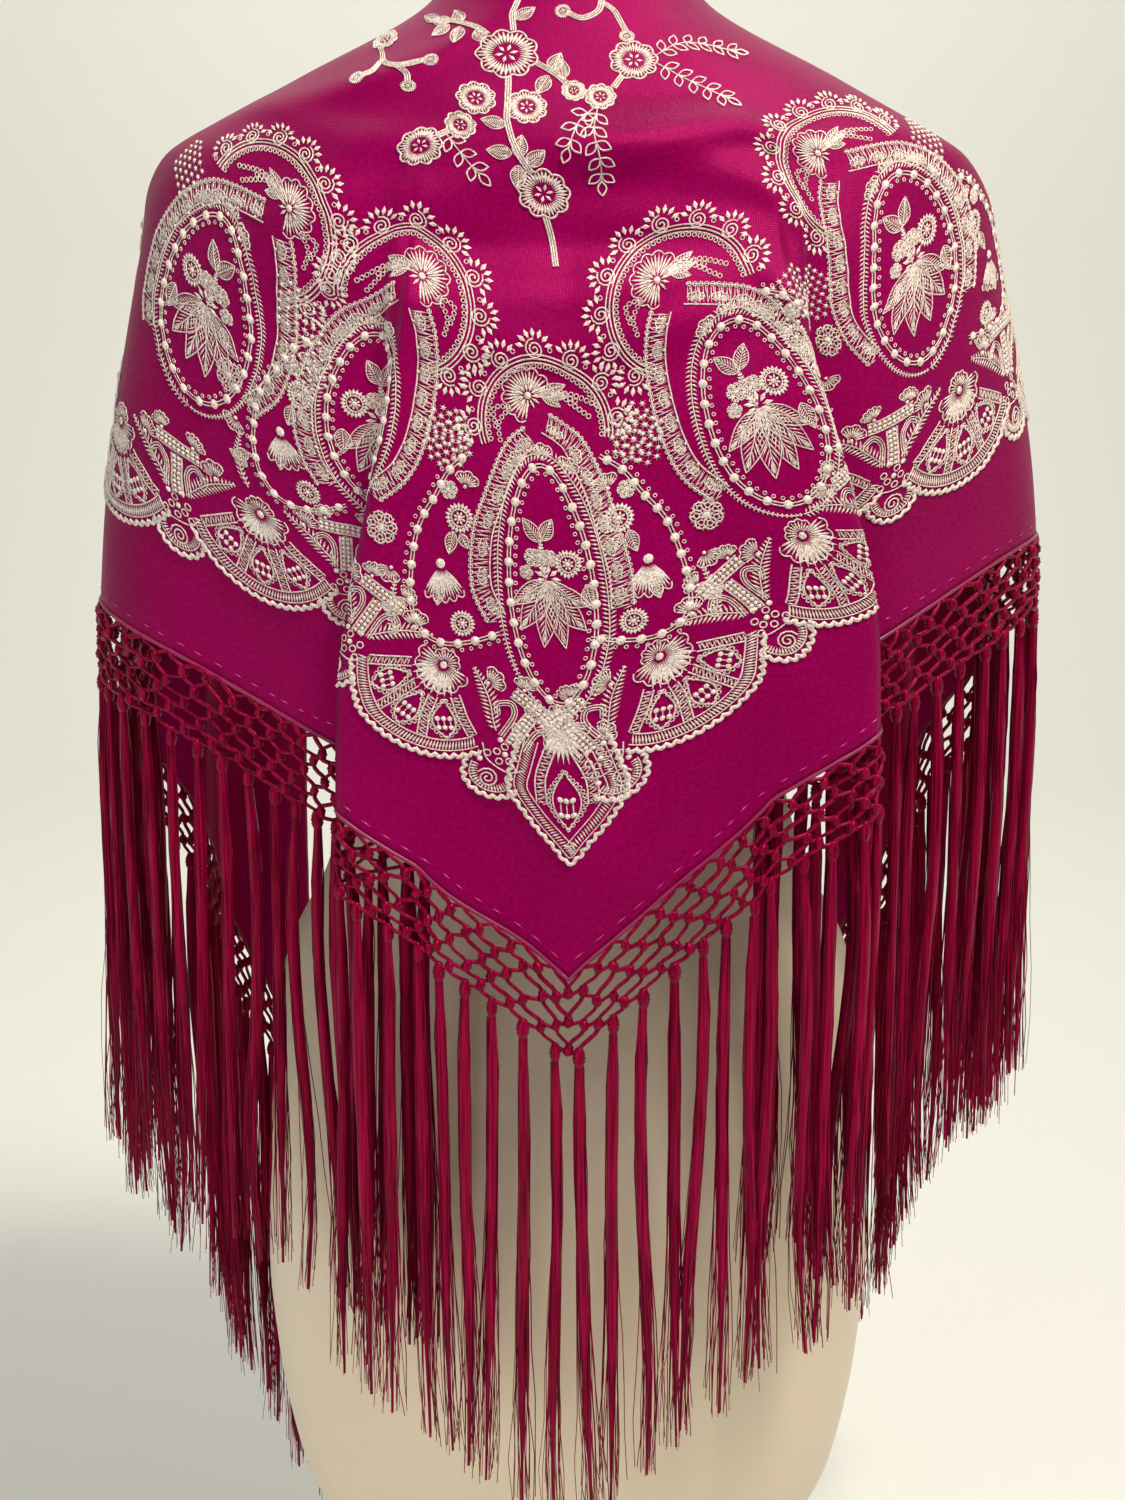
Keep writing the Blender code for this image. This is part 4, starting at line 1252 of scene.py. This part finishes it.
def scalloped(path, scallop=4.7):
    """A thick corded edge in small scallops on the right of a path, with a fine line inside it."""
    lengths = distances_along(path)
    count = max(int(round(lengths[-1] / scallop)), 3)
    share = np.linspace(0, 1, 6 * count + 1)
    even = np.column_stack([np.interp(share * lengths[-1], lengths, path[:, axis]) for axis in range(2)])
    bumps = 1.8 * np.abs(np.sin(pi * count * share))[:, None]
    return join([cord(even - bumps * ways_of(even)[1], 2.1, 1.35), cord(beside(even, 1.9), 0.6, 0.5)])


def small_lobe():
    """A small lobe of the border: a curl and a few loops over a scalloped cord."""
    works = [moved(curl(5.4), 0, -5), scalloped(arc(13.5, -172, -8, 30), 4.2)]
    works.append(petals(19, 7.6, 12.3, -168, -12, 1, 0.7))
    works.append(loops([(-7, 6), (-3.5, 9), (0.5, 6), (4, 10),
                        (7.5, 6.5), (-5.5, 13), (2, 14.5)], 1.7, 0.7))
    works.append(dots([(-9, 1.5), (9, 1.5), (0, 11), (5.5, 16.5), (-2.5, 18.5)], 1.5, 0.9))
    works.append(cord(smooth_path([(-12, 10), (-6, 3.5), (6, 3.5), (12, 10)]), 0.7, 0.6))
    return join(works)


SCROLL_HOOK = [(7, 4), (7, 18), (12, 23.5), (18, 19), (15, 14)]


def scroll_bands():
    """The bands over a small lobe: a dotted upright and bar, with a C scroll on each side."""
    works = [dotted_band(np.column_stack([np.linspace(-15, 15, 16), np.full(16, 30)]))]
    works.append(dotted_band(np.column_stack([np.zeros(14), np.linspace(2, 25, 14)])))
    for hand in (-1, 1):
        path = smooth_path([(hand * x, y) for x, y in SCROLL_HOOK])
        works += [cord(path), cord(beside(path, 1.4), 0.55, 0.5), cord(beside(path, -1.4), 0.55, 0.5)]
        works.append(moved(fan(8, 130, 13, 5), hand * 11, 35, -hand * 20))
    return join(works)


# %% [markdown]
# Lay the embroidery out
#
# The border follows the two short edges: places on it are measured along the hem from the tip and
# then squarely in from the hem. The left half mirrors the right one, but for the places of its
# arches. The centre arch and the tip's long lobe stand near the middle line, and a loose spray of
# blossoms fills the cloth under the nape.

# %% Border places
MM_DEPTH = CUT_DEPTH / MM
HEM_TURN = np.degrees(atan2(CUT_DEPTH, CUT_HALF_LENGTH))
ArchPlace = namedtuple("ArchPlace", "across down turn size")
RIGHT_ARCHES = [ArchPlace(128, 323, 12, 1), ArchPlace(248, 226, 31, 0.95),
                ArchPlace(364, 150, 34, 0.74)]
LEFT_ARCHES = [ArchPlace(125, 310, 21, 1), ArchPlace(213, 235, 38, 0.95),
               ArchPlace(345, 160, 34, 0.74)]
CENTRE_PLACE = ArchPlace(6, 404, 1, 1)
TIP_LOBE = ArchPlace(6, 416, 0, 1)
FIELD_PLACES = [ArchPlace(55, 378, 0, 1), ArchPlace(182, 286, 26, 0.95),
                ArchPlace(306, 204, 33, 0.85)]
BIG_LOBES = (133, 224, 315, 406, 497, 588, 676, 752, 816)
SMALL_LOBES = (83, 179, 270, 361, 452, 543, 633, 716, 786, 844)
CORNER_ROSETTES = [(440, 66, 10), (478, 38, 8.5), (522, 46, 9.5), (566, 28, 8),
                   (606, 38, 7)]
BIG_LOBE_INSET = 103
SMALL_LOBE_INSET = 71
BAND_INSET = 86


def on_border(work, along_hem, inset, size=1):
    """Work placed by its distance along the hem and in from it, on the right half."""
    c, s = cos(radians(HEM_TURN)), sin(radians(HEM_TURN))
    return moved(work, along_hem * c - inset * s, -MM_DEPTH + along_hem * s + inset * c, HEM_TURN, size)


def border_taper(along_hem):
    """The size of the border's lobes, which shrink towards the front tips."""
    return 1 - 0.62 * float(smooth_step(along_hem, 600, 850))


def half_border(arches):
    """All that lies on the right half of the cut."""
    works = []
    flank = arch(FLANK_ARCH)
    for place in arches:
        works.append(moved(flank, place.across, -place.down, place.turn, place.size))
    lobe = shell_lobe()
    for along_hem in BIG_LOBES:
        taper = border_taper(along_hem)
        works.append(on_border(lobe, along_hem, BIG_LOBE_INSET * (0.35 + 0.65 * taper), taper))
    small = small_lobe()
    for along_hem in SMALL_LOBES:
        taper = border_taper(along_hem)
        works.append(on_border(small, along_hem, SMALL_LOBE_INSET * (0.45 + 0.55 * taper), taper))
    field = beaded_field()
    for place in FIELD_PLACES:
        works.append(moved(moved(field, mirror=True), place.across, -place.down, place.turn, place.size))
    for across, down, radius in CORNER_ROSETTES:
        works.append(moved(open_flower(radius), across, -down, across))
    stem = smooth_path([(across, -down) for across, down, radius in CORNER_ROSETTES])
    works.append(feather(stem, 6, 3.2, 45, 1.4))
    bands = scroll_bands()
    for along_hem in SMALL_LOBES[:6]:
        works.append(on_border(bands, along_hem, BAND_INSET, 0.9))
    return join(works)


# %% Spray under the nape
# Flowers are across, down and radius; leaves are across, down and turn; the rest are across and down
SPRAY_FLOWERS = [(4, 67, 16), (-13, 96, 10), (12, 101, 10), (-22, 113, 8), (-43, 126, 11.5),
                 (17, 148, 13), (68, 73, 12.5), (49, 95, 7.7), (36, 91, 6), (-68, 45, 9)]
SPRAY_BUDS = [(-75, 77), (-47, 83), (-35, 66), (34, 42), (66, 57)]
SPRAY_SPRIGS = [[(80, 70), (92, 62), (108, 58), (124, 60)], [(80, 76), (92, 86), (104, 95), (114, 102)],
                [(47, 102), (44, 116), (46, 130), (46, 142)], [(45, 102), (37, 110), (31, 124)],
                [(-30, 118), (-23, 128), (-14, 139)]]
SPRAY_STEMS = [[(4, 82), (3, 96), (2, 110), (5, 125), (12, 138)], [(17, 160), (19, 172), (20, 186)],
               [(-68, 53), (-62, 65), (-52, 69), (-38, 66)], [(-62, 64), (-66, 72), (-73, 76)],
               [(-54, 68), (-48, 74), (-47, 80)], [(19, 74), (28, 81), (33, 87)],
               [(36, 43), (44, 46), (53, 40), (56, 28)], [(54, 34), (61, 40), (66, 54)],
               [(-5, 54), (-12, 45), (-24, 37), (-38, 34)], [(8, 52), (8, 40), (13, 26)],
               [(56, 90), (61, 83)], [(-34, 121), (-28, 117)]]
SPRAY_LEAVES = [(6, 130, -12), (3, 128, 82), (10, 134, -48), (6, 134, 172), (1, 112, 75), (-20, 40, 20),
                (-26, 37, 75), (-26, 40, 125), (-20, 43, 165), (-11, 47, 195), (-34, 34, 60),
                (25, 79, -30), (24, 82, 150), (31, 84, 0), (9, 44, -60), (12, 30, 40)]


def spray():
    """The loose spray; places are across and down on the cut."""
    works = []
    for number, (across, down, radius) in enumerate(SPRAY_FLOWERS):
        works.append(moved(open_flower(radius), across, -down, 37 * number))
    for across, down in SPRAY_BUDS:
        works.append(moved(rosette(4.4), across, -down))
    for path in SPRAY_SPRIGS:
        works.append(loop_sprig(smooth_path(np.array(path) * (1, -1)), 8, 8))
    for path in SPRAY_STEMS:
        smooth = smooth_path(np.array(path) * (1, -1))
        works += [cord(beside(smooth, side), 0.9, 0.8) for side in (-1.2, 0, 1.2)]
    for across, down, turn in SPRAY_LEAVES:
        works.append(moved(leaf(12.5, 7.5, 9), across, -down, turn))
    return join(works)


# %% Thread and embroidery objects
EMBROIDERY_LIFT = 0.0003

thread, tree, shader = start_material("cream_embroidery_thread", Roughness=0.48, IOR=1.5, Sheen_Weight=0.2)
place = add_node(tree, "ShaderNodeTexCoord")
fibre = mottle(tree, shader, place.outputs["Object"], 900.0, 2.0, [(0.35, "#C2ACA0"), (0.60, "#FAECDE")])
roughen(tree, shader, fibre, 0.4, 0.0003)


def embroider(name, work, mirror=False):
    """Lay work on the hanging cloth as one object of raised stitches."""
    across = -work.points[:, 0] if mirror else work.points[:, 0]
    flat = np.column_stack([across, -work.points[:, 1]]) * MM
    points = on_cloth(flat, EMBROIDERY_LIFT + work.points[:, 2] * MM)
    faces = work.faces[:, ::-1] if mirror else work.faces
    hem_share = np.abs(flat[:, 0]) / CUT_HALF_LENGTH + flat[:, 1] / CUT_DEPTH
    inside = np.all((flat[:, 1] > 0.004) & (hem_share < 0.985))
    made = mesh_object(name, points, [faces], thread)
    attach(made, ROOT)
    print(name, "triangles", len(faces), "inside the hem", bool(inside))


embroider("embroidery_right", half_border(RIGHT_ARCHES))
embroider("embroidery_left", half_border(LEFT_ARCHES), mirror=True)
middle = [moved(arch(CENTRE_ARCH), CENTRE_PLACE.across, -CENTRE_PLACE.down, CENTRE_PLACE.turn),
          moved(tip_lobe(), TIP_LOBE.across, -TIP_LOBE.down, TIP_LOBE.turn)]
embroider("embroidery_centre", join(middle))
embroider("embroidery_spray", spray())

# %% Running stitches of the hem
runs = []
for hand in (1.0, -1.0):
    places = np.arange(8.0, hypot(CUT_HALF_LENGTH, CUT_DEPTH) / MM - 12.0, STITCH_PITCH)
    c, s = cos(radians(HEM_TURN)), sin(radians(HEM_TURN))
    places = places + chance.uniform(-1.5, 1.5, len(places))
    start = np.column_stack([places * c - STITCH_INSET * s, -MM_DEPTH + places * s + STITCH_INSET * c])
    end = start + STITCH_LENGTH * np.array([c, s]) * chance.uniform(0.8, 1.15, (len(places), 1))
    runs.append(satin(start * (hand, 1.0), end * (hand, 1.0), 0.7, 0.5))
basting = join(runs)
bright, tree, shader = start_material("bright_pink_thread", Roughness=0.35)
shader.inputs["Base Color"].default_value = linear("#D8408A")
stitch_points = on_cloth(basting.points[:, :2] * (MM, -MM), EMBROIDERY_LIFT + basting.points[:, 2] * MM)
stitching = mesh_object("hem_stitches", stitch_points, [basting.faces], bright)
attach(stitching, ROOT)

# %% [markdown]
# The dress form and its stand
#
# The form is a moulded plastic shell with a soft shine, smooth and slightly waxy. It is a finer loft
# through the solid's own sections. A Subdivision Surface would smooth the solid too, but would draw
# it in under the cloth. The stand's pole and base keep their solids and take a brushed steel finish.

# %% Form material
moulded, tree, shader = start_material("cream_moulded_plastic", Roughness=0.38, IOR=1.46,
                                       Subsurface_Weight=0.12, Subsurface_Scale=0.01)
place = add_node(tree, "ShaderNodeTexCoord")
mottle(tree, shader, place.outputs["Object"], 9.0, 3.0, [(0.0, "#E2D2B4"), (1.0, "#EADCC2")])
peel = add_node(tree, "ShaderNodeTexNoise", {"Vector": place.outputs["Object"], "Scale": 700.0})
roughen(tree, shader, peel, 0.08, 0.0004)

# %% Form
FORM_RINGS = [
    Ring(0.080, 0.085, 0.056, 0.056),
    Ring(0.088, 0.112, 0.076, 0.076),
    Ring(0.105, 0.138, 0.092, 0.092),
    Ring(0.132, 0.159, 0.106, 0.107),
    Ring(0.170, 0.170, 0.114, 0.113),
    Ring(0.220, 0.178, 0.119, 0.116),
    Ring(0.275, 0.182, 0.121, 0.118),
    Ring(0.345, 0.179, 0.121, 0.117),
    Ring(0.420, 0.175, 0.115, 0.112),
    Ring(0.470, 0.166, 0.106, 0.106),
    Ring(0.520, 0.142, 0.094, 0.098),
    Ring(0.574, 0.127, 0.088, 0.093),
    Ring(0.641, 0.141, 0.094, 0.104),
    Ring(0.715, 0.155, 0.104, 0.117),
    Ring(0.790, 0.168, 0.112, 0.118),
    Ring(0.845, 0.185, 0.116, 0.111),
    Ring(0.885, 0.206, 0.117, 0.107),
]
FORM_SEAT = 0.0050
FORM_LEVELS = 150
FORM_SEGMENTS = 96
SHOULDER_HEIGHTS = (0.912, 0.944, 0.976, 1.008)
NECK_RINGS = [
    Ring(1.030, 0.056, 0.056, 0.051),
    Ring(1.060, 0.053, 0.054, 0.050),
    Ring(1.082, 0.052, 0.053, 0.049),
]
NECK_TOP = [(1.0865, 0.965), (1.0890, 0.90), (1.0900, 0.80)]

sections = list(FORM_RINGS)
for height in SHOULDER_HEIGHTS:
    sections.append(Ring(height, *(size - FORM_SEAT for size in ring_sizes(CLOTH_RINGS, height))))
sections += NECK_RINGS
form_heights = np.linspace(sections[0].height, sections[-1].height, FORM_LEVELS)
form_angles = np.linspace(0.0, 2.0 * pi, FORM_SEGMENTS, endpoint=False)
rings = []
for height in form_heights:
    roundness = SQUARENESS - 0.35 * float(smooth_step(height, 0.98, 1.03))
    outline = ring_outline(*ring_sizes(sections, height), roundness, form_angles)
    rings.append(np.column_stack([outline, np.full(FORM_SEGMENTS, height)]))
for height, share in NECK_TOP:
    rings.append(np.column_stack([rings[FORM_LEVELS - 1][:, :2] * share, np.full(FORM_SEGMENTS, height)]))
form_points = np.concatenate(rings)
index = np.arange(len(form_points)).reshape(len(rings), FORM_SEGMENTS)
around = np.roll(index, -1, axis=1)
quads = np.stack([index[:-1], around[:-1], around[1:], index[1:]], axis=-1).reshape(-1, 4)
form = mesh_object("display_form", form_points, [quads, [index[0][::-1]], [index[-1]]], moulded)
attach(form, ROOT)
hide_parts("dress_form")
print("form triangles", triangles(form))

# %% Stand
steel, tree, shader = start_material("brushed_steel", Metallic=1.0, Roughness=0.34)
place = add_node(tree, "ShaderNodeTexCoord")
stretched = add_node(tree, "ShaderNodeMapping",
                     {"Vector": place.outputs["Object"], "Scale": (4.0, 4.0, 900.0)})
brush = add_node(tree, "ShaderNodeTexNoise",
                 {"Vector": stretched.outputs["Vector"], "Scale": 1.0, "Detail": 2.0})
shine = add_node(tree, "ShaderNodeMapRange", {"Value": brush.outputs["Fac"], "To Min": 0.26, "To Max": 0.44})
tree.links.new(shine.outputs["Result"], shader.inputs["Roughness"])
shader.inputs["Base Color"].default_value = linear("#C9C8C4")
for name in ("stand_pole", "stand_base"):
    solid = frame["nodes"][name]
    if not solid.data.materials:
        solid.data.materials.append(steel)
    for place_in_list in range(len(solid.material_slots)):
        solid.material_slots[place_in_list].link = "OBJECT"
        solid.material_slots[place_in_list].material = steel

# %% [markdown]
# Light and floor
#
# A plain pale sweep stands for the studio. A compact light high on the camera's right models the
# folds, a wide weak one fills from the lower left, a third keeps the sweep bright behind the form,
# and the pale surroundings light the rest.

# %% Stage
SWEEP_DEPTH = 3.2
SWEEP_HEIGHT = 3.4
SWEEP_HALF_WIDTH = 5.0
SWEEP_RADIUS = 0.9

paper, tree, shader = start_material("pale_paper", Roughness=0.9)
shader.inputs["Base Color"].default_value = linear("#EEECE6")
profile = [(-4.0, 0.0)]
for step in range(17):
    turn = 0.5 * pi * step / 16
    profile.append((SWEEP_DEPTH - SWEEP_RADIUS + SWEEP_RADIUS * sin(turn), SWEEP_RADIUS * (1.0 - cos(turn))))
profile.append((SWEEP_DEPTH, SWEEP_HEIGHT))
sweep_points = [(side * SWEEP_HALF_WIDTH, y, z) for y, z in profile for side in (-1.0, 1.0)]
sweep_faces = [[2 * step, 2 * step + 1, 2 * step + 3, 2 * step + 2] for step in range(len(profile) - 1)]
sweep = mesh_object("studio_sweep", sweep_points, [sweep_faces], paper)


def area_light(name, place, aim, size, power, colour):
    """A square soft light at a place, turned to an aim point."""
    data = bpy.data.lights.new(name, "AREA")
    data.size = size
    data.energy = power
    data.color = linear(colour)[:3]
    lamp = bpy.data.objects.new(name, data)
    lamp.location = place
    way = np.array(aim) - np.array(place)
    lamp.rotation_euler = (atan2(hypot(way[0], way[1]), -way[2]), 0.0, atan2(way[1], way[0]) - pi / 2)
    bpy.context.scene.collection.objects.link(lamp)


area_light("key", (0.8, -0.95, 2.7), (0.0, -0.1, 0.75), 0.45, 56.0, "#FFF8EE")
area_light("fill", (-1.5, -2.0, 0.9), (0.0, 0.0, 0.35), 1.6, 15.0, "#F6F8FF")
area_light("back_wall", (0.0, 1.5, 2.7), (0.0, 2.9, 0.5), 2.4, 36.0, "#FBFFF4")
world = bpy.data.worlds.new("pale_room")
world.use_nodes = True
world.node_tree.nodes["Background"].inputs["Color"].default_value = linear("#F0EFEC")
world.node_tree.nodes["Background"].inputs["Strength"].default_value = 0.31
bpy.context.scene.world = world
bpy.context.scene.view_settings.view_transform = "Standard"
